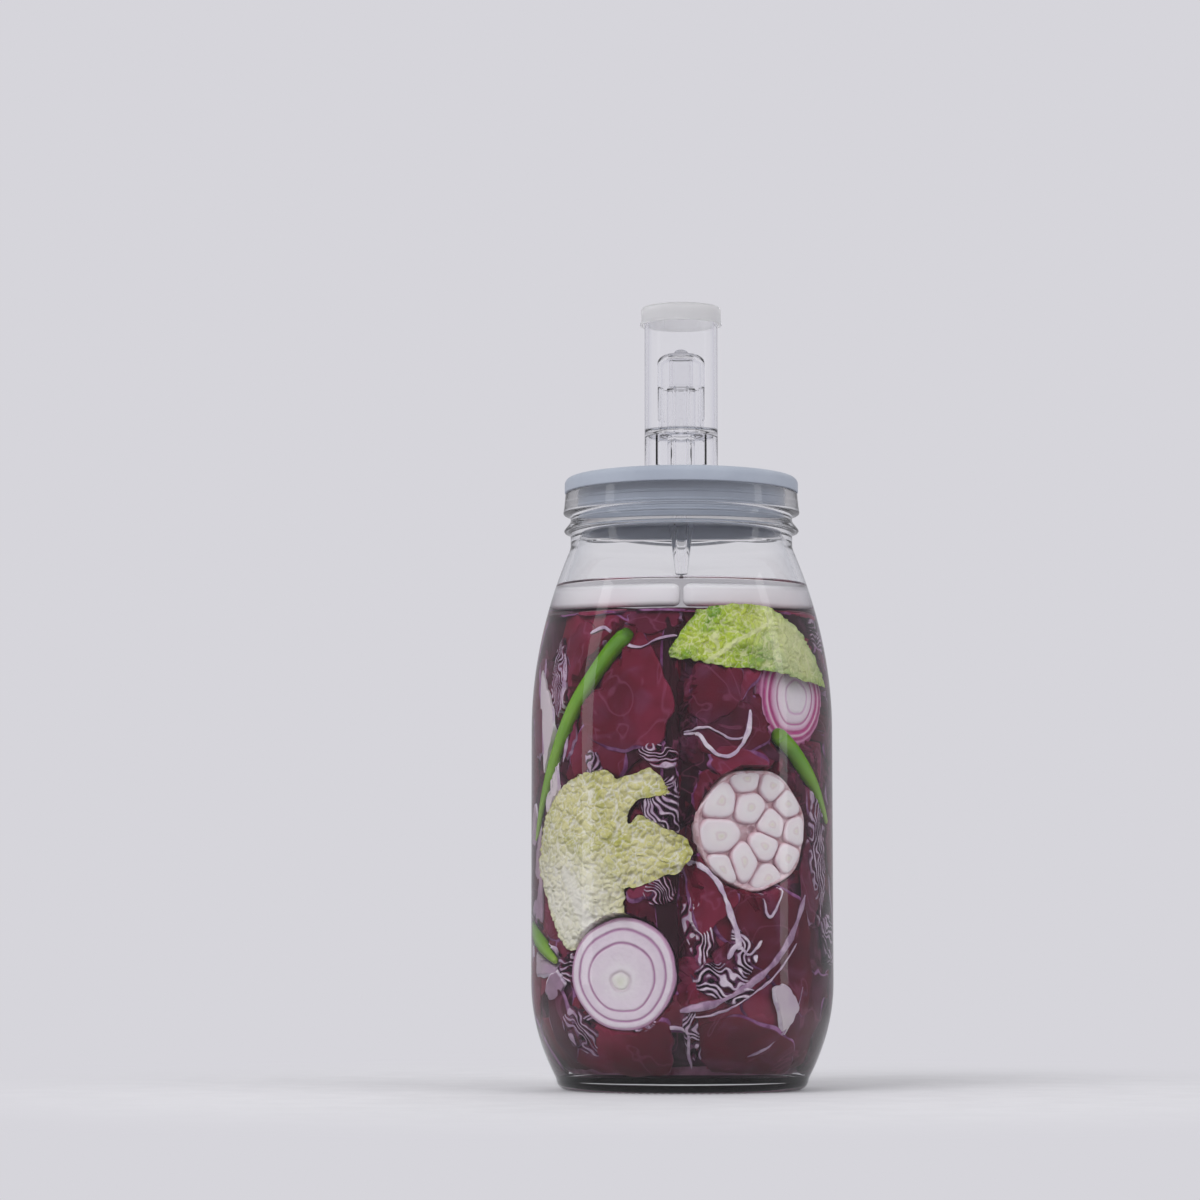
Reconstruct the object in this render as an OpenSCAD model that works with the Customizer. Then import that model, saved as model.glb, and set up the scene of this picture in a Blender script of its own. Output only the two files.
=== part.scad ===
// Glass fermentation jar with a silicone lid, a bubbler airlock, two half-moon
// weights and a packed fill of vegetables. Millimetres, +Z up, the origin is the
// middle of the base on the surface that the jar stands on.

/* [Jar] */
// Outside diameter of the straight body
body_d = 135; // [130:1:142]
// Height of the glass, base to rim
jar_h = 267; // [262:1:276]
// Wall of the body and neck
wall_t = 3.2; // [2.8:0.1:3.8]
// Height of the inside floor above the surface the jar stands on
base_t = 8; // [7:0.5:10]
// Rise of the hollow under the base
push_up = 4; // [3:0.5:5]
// Height over which the heel curves out to the body
heel_h = 48; // [42:1:54]
// How far the heel draws in at the base, each side
heel_in = 14; // [11:0.5:16]
// Radius of the corner between heel and base
foot_corner = 5; // [3:0.5:6]
// Width of the flat ring that the jar stands on
foot_ring = 7; // [4:0.5:10]
// Radius of the flat part of the inside floor
floor_r = 38; // [32:1:42]
// Height of the shoulder curve
shoulder_h = 82; // [74:1:88]

/* [Neck] */
// Outside diameter of the plain neck
neck_d = 100; // [98:0.5:102]
// Height of the neck above the shoulder, with its collar and bead
neck_h = 25; // [23:0.5:29]
// Height of the collar under the rim
collar_h = 9.4; // [8:0.2:11]
// How far the collar stands out from the neck at the rim
collar_top_out = 2.4; // [2:0.1:2.8]
// How far the collar stands out from the neck at its lower ledge
collar_low_out = 3.3; // [2.9:0.1:4]
// Plain groove between the collar and the bead
groove_h = 4; // [3:0.2:5]
// Height of the bead
bead_h = 4.5; // [3.5:0.1:5.5]
// How far the bead stands out from the neck at its lower ledge
bead_out = 2.9; // [2:0.1:3.5]
// Run-in of a ledge back to the neck
ledge_run = 1.4; // [0.8:0.1:2]
// Rounding of the rim
rim_round = 1; // [0.4:0.1:1.4]

// Small rounding of ledges and moulded edges
edge_break = 0.5; // [0.3:0.1:0.7]

/* [Lid] */
// Outside diameter of the lid
lid_d = 105.3; // [104:0.1:108]
// Thickness of the lid
lid_t = 7; // [5.5:0.1:9]
// Rounding of the lid's top edge
lid_round = 3; // [1:0.1:4]
// Depth of the plug below the rim
plug_h = 17; // [15:0.5:19]
// Wall of the hollow plug
plug_wall = 4; // [3:0.1:5]
// Slope at the lower edge of the plug
plug_edge = 1; // [0.5:0.1:1.4]
// Gap between the plug and the neck
plug_clear = 0.5; // [0.3:0.05:0.8]
// Sealing ribs round the plug
rib_count = 3; // [2:1:4]
// Height of a sealing rib
rib_h = 1.8; // [1.2:0.1:2.4]
// Gap left between a rib and the neck
rib_clear = 0.05; // [0.02:0.01:0.15]
// Diameter of the boss that grips the airlock
boss_d = 23; // [19:0.5:27]
// Drop of the boss below the lid's disc
boss_h = 5; // [3:0.5:7]

/* [Airlock body] */
// Outside diameter of the airlock's tube
tube_d = 33; // [31:0.5:34]
// Wall of the tube
tube_wall = 1.4; // [1:0.1:1.6]
// Height of the tube above the lid
tube_h = 76; // [73:1:84]
// Height of the chamber floor above the lid
chamber_z = 21; // [17:0.5:24]
// Slope between the chamber floor and the tube
chamber_edge = 1; // [0.4:0.1:1.6]
// Thickness of the chamber floor
chamber_floor_t = 1.8; // [1.2:0.1:2.6]
// Height of the inner tube above the chamber floor
inner_tube_h = 20; // [16:0.5:21]
// Diameter of the stem and the inner tube
stem_d = 12.9; // [11:0.1:13.5]
// Length of the stem from the top of the lid to its tip
stem_l = 44; // [40:0.5:45]
// Diameter of the stem at its tip
stem_tip_d = 5.6; // [5:0.1:7]
// Gas bore through the stem
gas_bore_d = 5.8; // [4:0.1:6.2]
// Gas bore at the tip
tip_bore_d = 3; // [2:0.1:3.6]
// Gap between the stem and the lid's hole
stem_clear = 0.05; // [0.02:0.01:0.1]
// Thickness of the webs under the chamber floor
web_t = 1.2; // [0.8:0.1:2]
// Webs under the chamber floor
web_count = 4; // [3:1:6]
// Width of the tube's foot on the lid
foot_w = 3; // [2:0.1:4]
// Height of the tube's foot
foot_h = 2; // [1:0.1:3]
// Depth of the vent notches in the top of the tube
vent_h = 0.8; // [0.4:0.1:1.5]
// Width of a vent notch
vent_w = 3; // [2:0.5:5]

/* [Float] */
// Outside diameter of the float
float_d = 21.3; // [20:0.1:23]
// Wall of the float
float_wall = 1.2; // [0.8:0.1:1.5]
// Height of the float to the top of its knob
float_h = 37.8; // [34:0.1:39]
// Height of the float's narrower skirt
float_skirt_h = 20; // [12:0.5:24]
// Set-back of the skirt from the upper wall
float_step = 0.4; // [0.2:0.05:0.6]
// Rise of the float's dome
float_dome_h = 4.2; // [3:0.1:5]
// Diameter of the knob on the dome
knob_d = 6.4; // [4:0.1:8]
// Rise of the knob
knob_h = 1.9; // [1:0.1:2.5]
// Diameter of the collar inside the dome
float_collar_d = 10.8; // [9:0.1:12]
// Gap between that collar and the top of the inner tube
float_collar_clear = 1; // [0.5:0.1:2]
// Grip ribs round the skirt
float_ribs = 10; // [6:1:14]
// Width of a rib
float_rib_w = 1.1; // [0.6:0.1:1.5]
// Bubble slots at the lower edge
slot_count = 4; // [3:1:6]
// Height of a bubble slot
slot_h = 5; // [2:0.5:8]
// Width of a bubble slot
slot_w = 2; // [1:0.1:3]

/* [Cap] */
// Outside diameter of the cap at its lower edge
cap_d = 37.1; // [36.6:0.1:39]
// Flare of the cap's skirt, each side
cap_flare = 0.5; // [0:0.1:0.6]
// Depth of the skirt below the tube's top
cap_skirt_h = 6.2; // [4:0.1:8]
// Height of the flared edge of the skirt
cap_edge_h = 1.5; // [0.8:0.1:2.5]
// Width of an inner rib
cap_rib_w = 1; // [0.6:0.1:2]
// Thickness of the cap's top
cap_t = 2; // [1.2:0.1:2.4]
// Wall of the skirt
cap_wall = 1.2; // [0.8:0.1:1.4]
// Rounding of the cap's top edge
cap_round = 1.6; // [0.6:0.1:1.8]
// Inner ribs that hold the cap on the tube
cap_ribs = 6; // [4:1:10]
// Gap between those ribs and the tube
cap_clear = 0.05; // [0.02:0.01:0.1]

/* [Weights] */
// Diameter of the two half-moon weights laid together
stone_d = 90; // [84:0.5:91]
// Thickness of a weight
stone_t = 10.2; // [8:0.1:12]
// Gap between the two halves
stone_split = 1.2; // [0.6:0.1:2]
// Rounding of a weight's edges
stone_round = 2.8; // [1:0.1:3.5]

/* [Food] */
// Depth of the top of the food below the rim
headspace = 56.5; // [54:0.5:60]
// Gap round each piece of food
food_gap = 0.3; // [0.2:0.05:0.5]
// Thickness of a savoy leaf
leaf_t = 3.2; // [2:0.1:4]
// Height of the upper leaf's top above the top of the food
leaf_top_rise = 2; // [0:0.5:3]
// Height of the upper leaf
leaf_top_h = 34.5; // [30:0.5:38]
// Height of the lower leaf's lowest point above the base
leaf_mid_z = 62; // [58:1:66]
// Height of the lower leaf
leaf_mid_h = 78; // [72:1:82]
// Diameter of the lower onion half
onion_low_d = 49; // [42:1:50]
// Height of the middle of the lower onion half above the base
onion_low_z = 52; // [50:1:56]
// Diameter of the upper onion half
onion_high_d = 46; // [40:1:48]
// Depth of the middle of the upper onion half below the top of the food
onion_high_drop = 38; // [35:1:42]
// How much further in than its nearest place the upper onion half lies
onion_high_back = 6; // [5:0.5:9]
// Diameter of the garlic bulb half
garlic_d = 54; // [48:1:55]
// Height of the middle of the garlic bulb half above the base
garlic_z = 114; // [112:1:117]
// Diameter of a chilli
chilli_d = 8; // [6:0.5:9]
// Diameter of a chilli at its tip
chilli_tip_d = 3; // [2:0.5:4]
// Depth of the long chilli's top below the top of the food
chilli_long_drop = 10; // [8:1:14]
// Height that the long chilli spans
chilli_long_h = 90; // [80:1:96]
// Height of the right chilli's top above the middle of the garlic
chilli_right_rise = 42; // [41:1:46]
// Height that the right chilli spans
chilli_right_h = 38; // [30:1:40]
// Height of the low chilli's top above the base
chilli_low_z = 72; // [70:1:75]
// Height that the low chilli spans
chilli_low_h = 15; // [12:1:17]
// Height of the lowest layer of cabbage on the left, at the axis
layer_left_low = 66; // [60:1:72]
// Height of the lowest layer of cabbage on the right, at the axis
layer_right_low = 80; // [74:1:86]
// Height of the lower layer of cabbage at the back, at the axis
layer_back_low = 112; // [104:1:120]
// Depth of the top layer of cabbage on the left, at the axis
layer_left_top = 74; // [68:1:80]
// Depth of the top layer of cabbage on the right, at the axis
layer_right_top = 62; // [58:1:68]
// How far behind the axis the front cabbage ends
front_depth = 12; // [6:1:18]

/* [Hidden] */
$fn = 96;

body_r = body_d / 2;
neck_r = neck_d / 2;
neck_z = jar_h - neck_h;
shoulder_z = neck_z - shoulder_h;
cavity_r = body_r - wall_t;
mouth_r = neck_r - wall_t;
curve_steps = 20;
// How far a rib or web is sunk into the wall that it stands on
sunk = 0.4;
arc_steps = 6;

lid_top = jar_h + lid_t;
plug_bottom = jar_h - plug_h;
plug_r = mouth_r - plug_clear;
boss_bottom = jar_h - boss_h;
stem_r = stem_d / 2;
stem_tip_z = lid_top - stem_l;
chamber_floor = lid_top + chamber_z;
inner_tube_top = chamber_floor + inner_tube_h;
tube_r = tube_d / 2;
tube_in_r = tube_r - tube_wall;
tube_top = lid_top + tube_h;
float_r = float_d / 2;
pack_h = jar_h - headspace;
stone_top = pack_h + stone_t;
onion_high_z = pack_h - onion_high_drop;
reach = body_d * 3;

// Directions of the food round the jar, in degrees from the front, + to the right
onion_low_turn = -25;
onion_high_turn = 56;
garlic_turn = 31;
// Depth of a bulb half as a share of its diameter
bulb_share = 0.42;
// Rings between two points of a chilli's route, and points in a ring
chilli_steps = 2;
chilli_sides = 10;

// Routes of the chillies along the glass: turn from the front, then share of the height fallen
chilli_long_route = [[-23, 0], [-30, 0.08], [-38, 0.2], [-47, 0.34], [-55, 0.49],
    [-63, 0.65], [-70, 0.81], [-77, 1]];
chilli_right_route = [[41, 0], [50, 0.18], [58, 0.4], [66, 0.63], [76, 1]];
chilli_low_route = [[-88, 0], [-78, 0.33], [-68, 0.67], [-58, 1]];

// Outlines of the two savoy leaves on the glass: turn from the front, then share of the height
leaf_top_outline = [[-5, 0.41], [5, 0.84], [10, 0.93], [19, 0.99], [38, 1], [49, 0.87],
    [58, 0.7], [72, 0.26], [75, 0], [47, 0.12], [31, 0.17], [17, 0.2], [6, 0.26], [-4, 0.29]];
leaf_mid_outline = [[-57, 0.88], [-47, 0.96], [-32, 1], [-25, 0.95], [-13, 1], [-8, 0.95],
    [-5, 0.87], [-18, 0.82], [-22, 0.7], [-16, 0.74], [-8, 0.68], [0, 0.63], [4, 0.55],
    [0, 0.44], [-8, 0.4], [-17, 0.35], [-23, 0.33], [-24, 0.18], [-35, 0.12], [-47, 0],
    [-57, 0.1], [-69, 0.37], [-74, 0.49], [-67, 0.72]];

// Tilts about X and Y of the planes between the layers of red cabbage
tilt_left_low = [10, 14];
tilt_left_top = [-8, -12];
tilt_right_low = [8, -16];
tilt_right_top = [-6, 13];
tilt_back = [12, 9];

// Points of an arc of radius r about [x, z], from angle a to angle b
function arc(x, z, r, a, b) =
    [for (i = [0:arc_steps]) [x + r * cos(a + (b - a) * i / arc_steps),
        z + r * sin(a + (b - a) * i / arc_steps)]];

// Outside radius of the glass at height z, without collar and bead
function outer_r(z) =
    z < heel_h ? body_r - heel_in * pow((heel_h - z) / heel_h, 2)
    : z < shoulder_z ? body_r
    : z < neck_z ? body_r - (body_r - neck_r) * pow((z - shoulder_z) / shoulder_h, 2)
    : neck_r;

// Inside radius of the glass at height z
function inner_r(z) =
    z < heel_h ? floor_r + (cavity_r - floor_r)
        * sqrt(max(0, 1 - pow((heel_h - z) / (heel_h - base_t), 2)))
    : outer_r(z) - wall_t;

// Curve of the inside, drawn in by off and cut at height top
function cavity_curve(off, top) = concat(
    [for (i = [0:curve_steps]) let (a = 90 * i / curve_steps)
        [floor_r + (cavity_r - off - floor_r) * sin(a),
            heel_h - (heel_h - base_t - off) * cos(a)]],
    [for (i = [0:curve_steps]) let (z = shoulder_z + shoulder_h * i / curve_steps)
        if (z < top) [inner_r(z) - off, z]]);

module glass_jar() {
    foot_x = outer_r(foot_corner) - foot_corner;
    outline = concat(
        [[0, push_up], [foot_x - foot_ring - push_up, push_up], [foot_x - foot_ring, 0]],
        arc(foot_x, foot_corner, foot_corner, -90, 0),
        [for (i = [1:curve_steps]) let (z = foot_corner + (heel_h - foot_corner) * i / curve_steps)
            [outer_r(z), z]],
        [for (i = [0:curve_steps]) let (z = shoulder_z + shoulder_h * i / curve_steps)
            [outer_r(z), z]],
        neck_outline(),
        [for (i = [len(cavity_curve(0, neck_z)) - 1:-1:0]) cavity_curve(0, neck_z)[i]],
        [[0, base_t]]);
    color([0.86, 0.9, 0.93, 0.35]) rotate_extrude() polygon(outline);
}

// Neck from its foot up over bead, collar and rim, and down inside to the shoulder
function neck_outline() =
    let (collar_z = jar_h - collar_h,
        bead_top = collar_z - groove_h,
        bead_low = bead_top - bead_h,
        collar_top_r = neck_r + collar_top_out,
        collar_low_r = neck_r + collar_low_out,
        bead_r = neck_r + bead_out)
    concat(
        [[neck_r, bead_low - edge_break], [bead_r - edge_break, bead_low],
            [bead_r, bead_low + edge_break], [neck_r + edge_break, bead_top],
            [neck_r, bead_top + edge_break], [neck_r, collar_z - ledge_run],
            [collar_low_r - edge_break, collar_z], [collar_low_r, collar_z + edge_break]],
        arc(collar_top_r - rim_round, jar_h - rim_round, rim_round, 0, 90),
        arc(mouth_r + rim_round, jar_h - rim_round, rim_round, 90, 180),
        [[mouth_r, neck_z]]);

module silicone_lid() {
    hole_r = stem_r + stem_clear;
    plug_in_r = plug_r - plug_wall;
    rib_r = mouth_r - rib_clear;
    rib_step = (plug_h - plug_edge) / (rib_count + 1);
    ribs = [for (i = [1:rib_count]) let (z = plug_bottom + plug_edge + rib_step * i - rib_h / 2)
        each [[plug_r, z], [rib_r, z + rib_h / 3], [rib_r, z + rib_h * 2 / 3], [plug_r, z + rib_h]]];
    outline = concat(
        [[hole_r, boss_bottom], [boss_d / 2, boss_bottom], [boss_d / 2, jar_h],
            [plug_in_r, jar_h], [plug_in_r, plug_bottom + plug_edge],
            [plug_in_r + plug_edge, plug_bottom], [plug_r - plug_edge, plug_bottom],
            [plug_r, plug_bottom + plug_edge]],
        ribs,
        [[plug_r, jar_h], [lid_d / 2 - edge_break, jar_h], [lid_d / 2, jar_h + edge_break]],
        arc(lid_d / 2 - lid_round, lid_top - lid_round, lid_round, 0, 90),
        [[hole_r, lid_top]]);
    color([0.56, 0.62, 0.69]) rotate_extrude() polygon(outline);
}

module airlock_body() {
    floor_under = chamber_floor - chamber_floor_t;
    tip_r = stem_tip_d / 2;
    tip_round = (tip_r - tip_bore_d / 2) * 0.8;
    outline = concat(
        [[tip_bore_d / 2, stem_tip_z], [gas_bore_d / 2, boss_bottom],
            [gas_bore_d / 2, inner_tube_top], [stem_r, inner_tube_top], [stem_r, chamber_floor],
            [tube_in_r - chamber_edge, chamber_floor], [tube_in_r, chamber_floor + chamber_edge],
            [tube_in_r, tube_top], [tube_r, tube_top], [tube_r, lid_top],
            [tube_r - foot_w, lid_top], [tube_r - foot_w, lid_top + foot_h],
            [tube_in_r, lid_top + foot_h + foot_w - tube_wall],
            [tube_in_r, floor_under], [stem_r, floor_under], [stem_r, boss_bottom]],
        arc(tip_r - tip_round, stem_tip_z + tip_round, tip_round, 0, -90));
    color([0.93, 0.94, 0.96, 0.4]) difference() {
        union() {
            rotate_extrude() polygon(outline);
            for (i = [0:web_count - 1])
                rotate([0, 0, 360 / web_count * (i + 0.5)])
                    translate([stem_r - sunk, -web_t / 2, lid_top + foot_h + foot_w])
                        cube([tube_in_r - stem_r + sunk * 2, web_t,
                            floor_under - lid_top - foot_h - foot_w + sunk]);
        }
        for (i = [0:3])
            rotate([0, 0, 90 * i])
                translate([0, -vent_w / 2, tube_top - vent_h]) cube([tube_d, vent_w, vent_h * 2]);
    }
}

module airlock_float() {
    skirt_r = float_r - float_step;
    in_r = skirt_r - float_wall;
    step_z = chamber_floor + float_skirt_h;
    dome_z = chamber_floor + float_h - knob_h;
    wall_top = dome_z - float_dome_h;
    roof_z = dome_z - float_wall;
    collar_r = float_collar_d / 2;
    collar_low = inner_tube_top + float_collar_clear;
    knob_r = knob_d / 2;
    outline = concat(
        [[in_r, chamber_floor], [skirt_r, chamber_floor], [skirt_r, step_z], [float_r, step_z]],
        [for (i = [0:arc_steps]) let (a = 90 * i / arc_steps)
            [knob_r + (float_r - knob_r) * cos(a), wall_top + float_dome_h * sin(a)]],
        [for (i = [1:arc_steps]) let (a = 90 * i / arc_steps)
            [knob_r * cos(a), dome_z + knob_h * sin(a)]],
        [[0, roof_z], [collar_r - float_wall, roof_z], [collar_r - float_wall, collar_low],
            [collar_r, collar_low], [collar_r, roof_z - float_wall]],
        [for (i = [arc_steps - 1:-1:0]) let (a = 90 * i / arc_steps)
            [collar_r + (in_r - collar_r) * cos(a),
                wall_top - float_wall + (float_dome_h - float_wall) * sin(a)]]);
    color([0.9, 0.92, 0.95, 0.5]) difference() {
        union() {
            rotate_extrude() polygon(outline);
            for (i = [0:float_ribs - 1])
                rotate([0, 0, 360 / float_ribs * (i + 0.5)])
                    translate([skirt_r - sunk, -float_rib_w / 2, chamber_floor + slot_h])
                        cube([float_step * 0.8 + sunk, float_rib_w,
                            float_skirt_h - slot_h + float_wall / 2]);
        }
        for (i = [0:slot_count - 1])
            rotate([0, 0, 360 / slot_count * i])
                translate([0, -slot_w / 2, chamber_floor - 1]) cube([float_d, slot_w, slot_h + 1]);
    }
}

module airlock_cap() {
    top_z = tube_top + cap_t;
    upper_r = cap_d / 2 - cap_flare;
    low_z = tube_top - cap_skirt_h;
    outline = concat(
        [[0, tube_top], [upper_r - cap_wall, tube_top], [upper_r - cap_wall, low_z + cap_edge_h],
            [cap_d / 2 - cap_wall, low_z], [cap_d / 2, low_z], [upper_r, low_z + cap_edge_h]],
        arc(upper_r - cap_round, top_z - cap_round, cap_round, 0, 90),
        [[0, top_z]]);
    color([0.95, 0.95, 0.96, 0.7]) {
        rotate_extrude() polygon(outline);
        for (i = [0:cap_ribs - 1])
            rotate([0, 0, 360 / cap_ribs * (i + 0.5)])
                translate([tube_r + cap_clear, -cap_rib_w / 2, low_z + cap_edge_h])
                    cube([upper_r - cap_wall / 2 - tube_r - cap_clear, cap_rib_w,
                        cap_skirt_h - cap_edge_h]);
    }
}

// One half-moon weight on the right of the split
module half_stone() {
    r = stone_d / 2;
    e = stone_round;
    disc = concat([[0, pack_h]], arc(r - e, pack_h + e, e, -90, 0),
        arc(r - e, stone_top - e, e, 0, 90), [[0, stone_top]]);
    x = stone_split / 2;
    block = concat(arc(x + e, pack_h + e, e, 270, 180), arc(x + e, stone_top - e, e, 180, 90),
        [[stone_d, stone_top], [stone_d, pack_h]]);
    intersection() {
        rotate_extrude() polygon(disc);
        rotate([90, 0, 0]) linear_extrude(height = stone_d * 2, center = true) polygon(block);
    }
}

module stone_right() {
    color([0.96, 0.96, 0.95]) half_stone();
}

module stone_left() {
    color([0.96, 0.96, 0.95]) mirror([1, 0, 0]) half_stone();
}

// The inside of the jar drawn in by off, from the floor up to height top
module fill_of_jar(off, top) {
    curve = cavity_curve(off, top);
    rotate_extrude()
        polygon(concat([[0, base_t + off]], curve, [[inner_r(top) - off, top], [0, top]]));
}

// How far from the axis a round cut face of radius r at height z can lie
function face_reach(z, r) = min([for (a = [-90:15:90])
    sqrt(pow(inner_r(z + r * sin(a)) - food_gap * 2, 2) - pow(r * cos(a), 2))]);

// Carries a shape drawn about +Z out to the glass: turn round the jar, height, reach
module at_glass(turn, z, out) {
    rotate([0, 0, turn]) translate([0, -out, z]) rotate([90, 0, 0]) children();
}

// A bulb cut in half, its cut face at the origin looking along +Z
module bulb_half(d, grow) {
    r = d / 2 + grow;
    depth = d * bulb_share + grow;
    rotate_extrude() polygon(concat([[0, 0]],
        [for (i = [0:arc_steps * 2]) let (a = 90 * i / arc_steps / 2)
            [r * cos(a), -depth * sin(a)]]));
}

// The room that a bulb half takes out of the cabbage, open towards the glass
module bulb_room(d) {
    bulb_half(d, food_gap);
    translate([0, 0, -0.01]) cylinder(d = d + food_gap * 2, h = d);
}

// The point on the glass's inside at that turn and height, drawn in by r and the gap
function glass_point(turn, z, r) =
    let (out = inner_r(z) - food_gap - r)
    [out * sin(turn), -out * cos(turn), z];

function unit(v) = v / norm(v);

// Radius of a chilli at ring i of n: a blunt stalk end and a long taper to the tip
function chilli_r(i, n) =
    i == 0 ? chilli_d * 0.32
    : min(chilli_d / 2, chilli_tip_d / 2 + (n - 1 - i) * (chilli_d - chilli_tip_d) / n);

// A chilli along the glass, made of rings of chilli_sides points round its route;
// out moves it outwards, as a share of its own radius
module chilli(route, top, height, grow, out) {
    n = (len(route) - 1) * chilli_steps + 1;
    path = [for (i = [0:n - 1])
        let (k = min(floor(i / chilli_steps), len(route) - 2), part = i / chilli_steps - k)
        let (p = route[k] + (route[k + 1] - route[k]) * part)
        glass_point(p[0], top - height * p[1], chilli_r(i, n) * (1 - out))];
    points = [for (i = [0:n - 1])
        let (along = unit(path[min(i + 1, n - 1)] - path[max(i - 1, 0)]),
            away = unit([path[i][0], path[i][1], 0]),
            side = unit(away - along * (away * along)),
            across = cross(along, side),
            end = i == 0 ? -grow : i == n - 1 ? grow : 0)
        for (k = [0:chilli_sides - 1])
            let (a = 360 * k / chilli_sides)
            path[i] + along * end
                + (side * cos(a) + across * sin(a)) * (chilli_r(i, n) + grow)];
    walls = [for (i = [0:n - 2]) for (k = [0:chilli_sides - 1])
        let (a = i * chilli_sides + k, b = i * chilli_sides + (k + 1) % chilli_sides)
        each [[a, a + chilli_sides, b], [b, a + chilli_sides, b + chilli_sides]]];
    ends = [[for (k = [0:chilli_sides - 1]) k],
        [for (k = [chilli_sides - 1:-1:0]) (n - 1) * chilli_sides + k]];
    polyhedron(points, concat(walls, ends), convexity = 4);
}

module chilli_long_shape(grow, out) {
    chilli(chilli_long_route, pack_h - chilli_long_drop, chilli_long_h, grow, out);
}

module chilli_right_shape(grow, out) {
    chilli(chilli_right_route, garlic_z + chilli_right_rise, chilli_right_h, grow, out);
}

module chilli_low_shape(grow, out) {
    chilli(chilli_low_route, chilli_low_z, chilli_low_h, grow, out);
}

// Outline across and up as seen from the front
function seen_outline(outline, low, height) =
    [for (p = outline) [cavity_r * sin(p[0]), low + height * p[1]]];

// What lies between two depths inside the glass, within an outline seen from the front
module leaf(outline, near, far) {
    intersection() {
        difference() {
            fill_of_jar(near, neck_z);
            fill_of_jar(far, neck_z + 1);
        }
        rotate([90, 0, 0]) linear_extrude(height = body_d) polygon(outline);
    }
}

module leaf_top_shape(near, far) {
    leaf(seen_outline(leaf_top_outline, pack_h + leaf_top_rise - leaf_top_h, leaf_top_h),
        near, far);
}

module leaf_mid_shape(near, far) {
    leaf(seen_outline(leaf_mid_outline, leaf_mid_z, leaf_mid_h), near, far);
}

module onion_low_room() {
    at_glass(onion_low_turn, onion_low_z, face_reach(onion_low_z, onion_low_d / 2))
        bulb_room(onion_low_d);
}

module garlic_room() {
    at_glass(garlic_turn, garlic_z, face_reach(garlic_z, garlic_d / 2)) bulb_room(garlic_d);
}

function onion_high_out() = face_reach(onion_high_z, onion_high_d / 2) - onion_high_back;

module onion_high_room() {
    at_glass(onion_high_turn, onion_high_z, onion_high_out()) bulb_room(onion_high_d);
}

module savoy_leaf_top() {
    color([0.78, 0.86, 0.42]) leaf_top_shape(food_gap, leaf_t + food_gap);
}

module savoy_leaf_mid() {
    color([0.86, 0.9, 0.62]) difference() {
        leaf_mid_shape(food_gap, leaf_t + food_gap);
        onion_low_room();
        garlic_room();
        for (out = [0, 1]) {
            chilli_long_shape(food_gap, out);
            chilli_low_shape(food_gap, out);
        }
    }
}

module onion_half_low() {
    color([0.88, 0.8, 0.88])
        at_glass(onion_low_turn, onion_low_z, face_reach(onion_low_z, onion_low_d / 2))
            bulb_half(onion_low_d, 0);
}

module onion_half_high() {
    color([0.88, 0.78, 0.88]) at_glass(onion_high_turn, onion_high_z, onion_high_out())
        bulb_half(onion_high_d, 0);
}

module garlic_half() {
    color([0.93, 0.89, 0.86])
        at_glass(garlic_turn, garlic_z, face_reach(garlic_z, garlic_d / 2))
            bulb_half(garlic_d, 0);
}

module chilli_long() {
    color([0.36, 0.62, 0.2]) chilli_long_shape(0, 0);
}

module chilli_right() {
    color([0.36, 0.6, 0.2]) chilli_right_shape(0, 0);
}

module chilli_low() {
    color([0.4, 0.6, 0.22]) chilli_low_shape(0, 0);
}

// Everything below or above a tilted plane, half a gap away from it
module under(z, tilt) {
    translate([0, 0, z]) rotate([tilt[0], tilt[1], 0])
        translate([-reach / 2, -reach / 2, -reach - food_gap / 2]) cube(reach);
}

module over(z, tilt) {
    translate([0, 0, z]) rotate([tilt[0], tilt[1], 0])
        translate([-reach / 2, -reach / 2, food_gap / 2]) cube(reach);
}

// The left (-1) or right (+1) half of the front, half a gap from the middle
module front_side(side) {
    mirror([side < 0 ? 1 : 0, 0, 0])
        translate([food_gap / 2, -reach + front_depth - food_gap / 2, 0]) cube(reach);
}

module back_side() {
    translate([-reach / 2, front_depth + food_gap / 2, 0]) cube(reach);
}

// Cabbage fills what its children bound, around the other pieces; a chilli's channel is
// open towards the glass
module cabbage() {
    color([0.42, 0.12, 0.24]) difference() {
        intersection() {
            fill_of_jar(food_gap, pack_h);
            children();
        }
        onion_low_room();
        onion_high_room();
        garlic_room();
        leaf_top_shape(0, leaf_t + food_gap * 2);
        leaf_mid_shape(0, leaf_t + food_gap * 2);
        for (out = [0, 1]) {
            chilli_long_shape(food_gap, out);
            chilli_right_shape(food_gap, out);
            chilli_low_shape(food_gap, out);
        }
    }
}

module cabbage_low_left() {
    cabbage() intersection() {
        front_side(-1);
        under(layer_left_low, tilt_left_low);
    }
}

module cabbage_low_right() {
    cabbage() intersection() {
        front_side(1);
        under(layer_right_low, tilt_right_low);
    }
}

module cabbage_mid_left() {
    cabbage() intersection() {
        front_side(-1);
        over(layer_left_low, tilt_left_low);
        under(pack_h - layer_left_top, tilt_left_top);
    }
}

module cabbage_mid_right() {
    cabbage() intersection() {
        front_side(1);
        over(layer_right_low, tilt_right_low);
        under(pack_h - layer_right_top, tilt_right_top);
    }
}

module cabbage_top_left() {
    cabbage() intersection() {
        front_side(-1);
        over(pack_h - layer_left_top, tilt_left_top);
    }
}

module cabbage_top_right() {
    cabbage() intersection() {
        front_side(1);
        over(pack_h - layer_right_top, tilt_right_top);
    }
}

module cabbage_back_low() {
    cabbage() intersection() {
        back_side();
        under(layer_back_low, tilt_back);
    }
}

module cabbage_back_high() {
    cabbage() intersection() {
        back_side();
        over(layer_back_low, tilt_back);
    }
}

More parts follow.
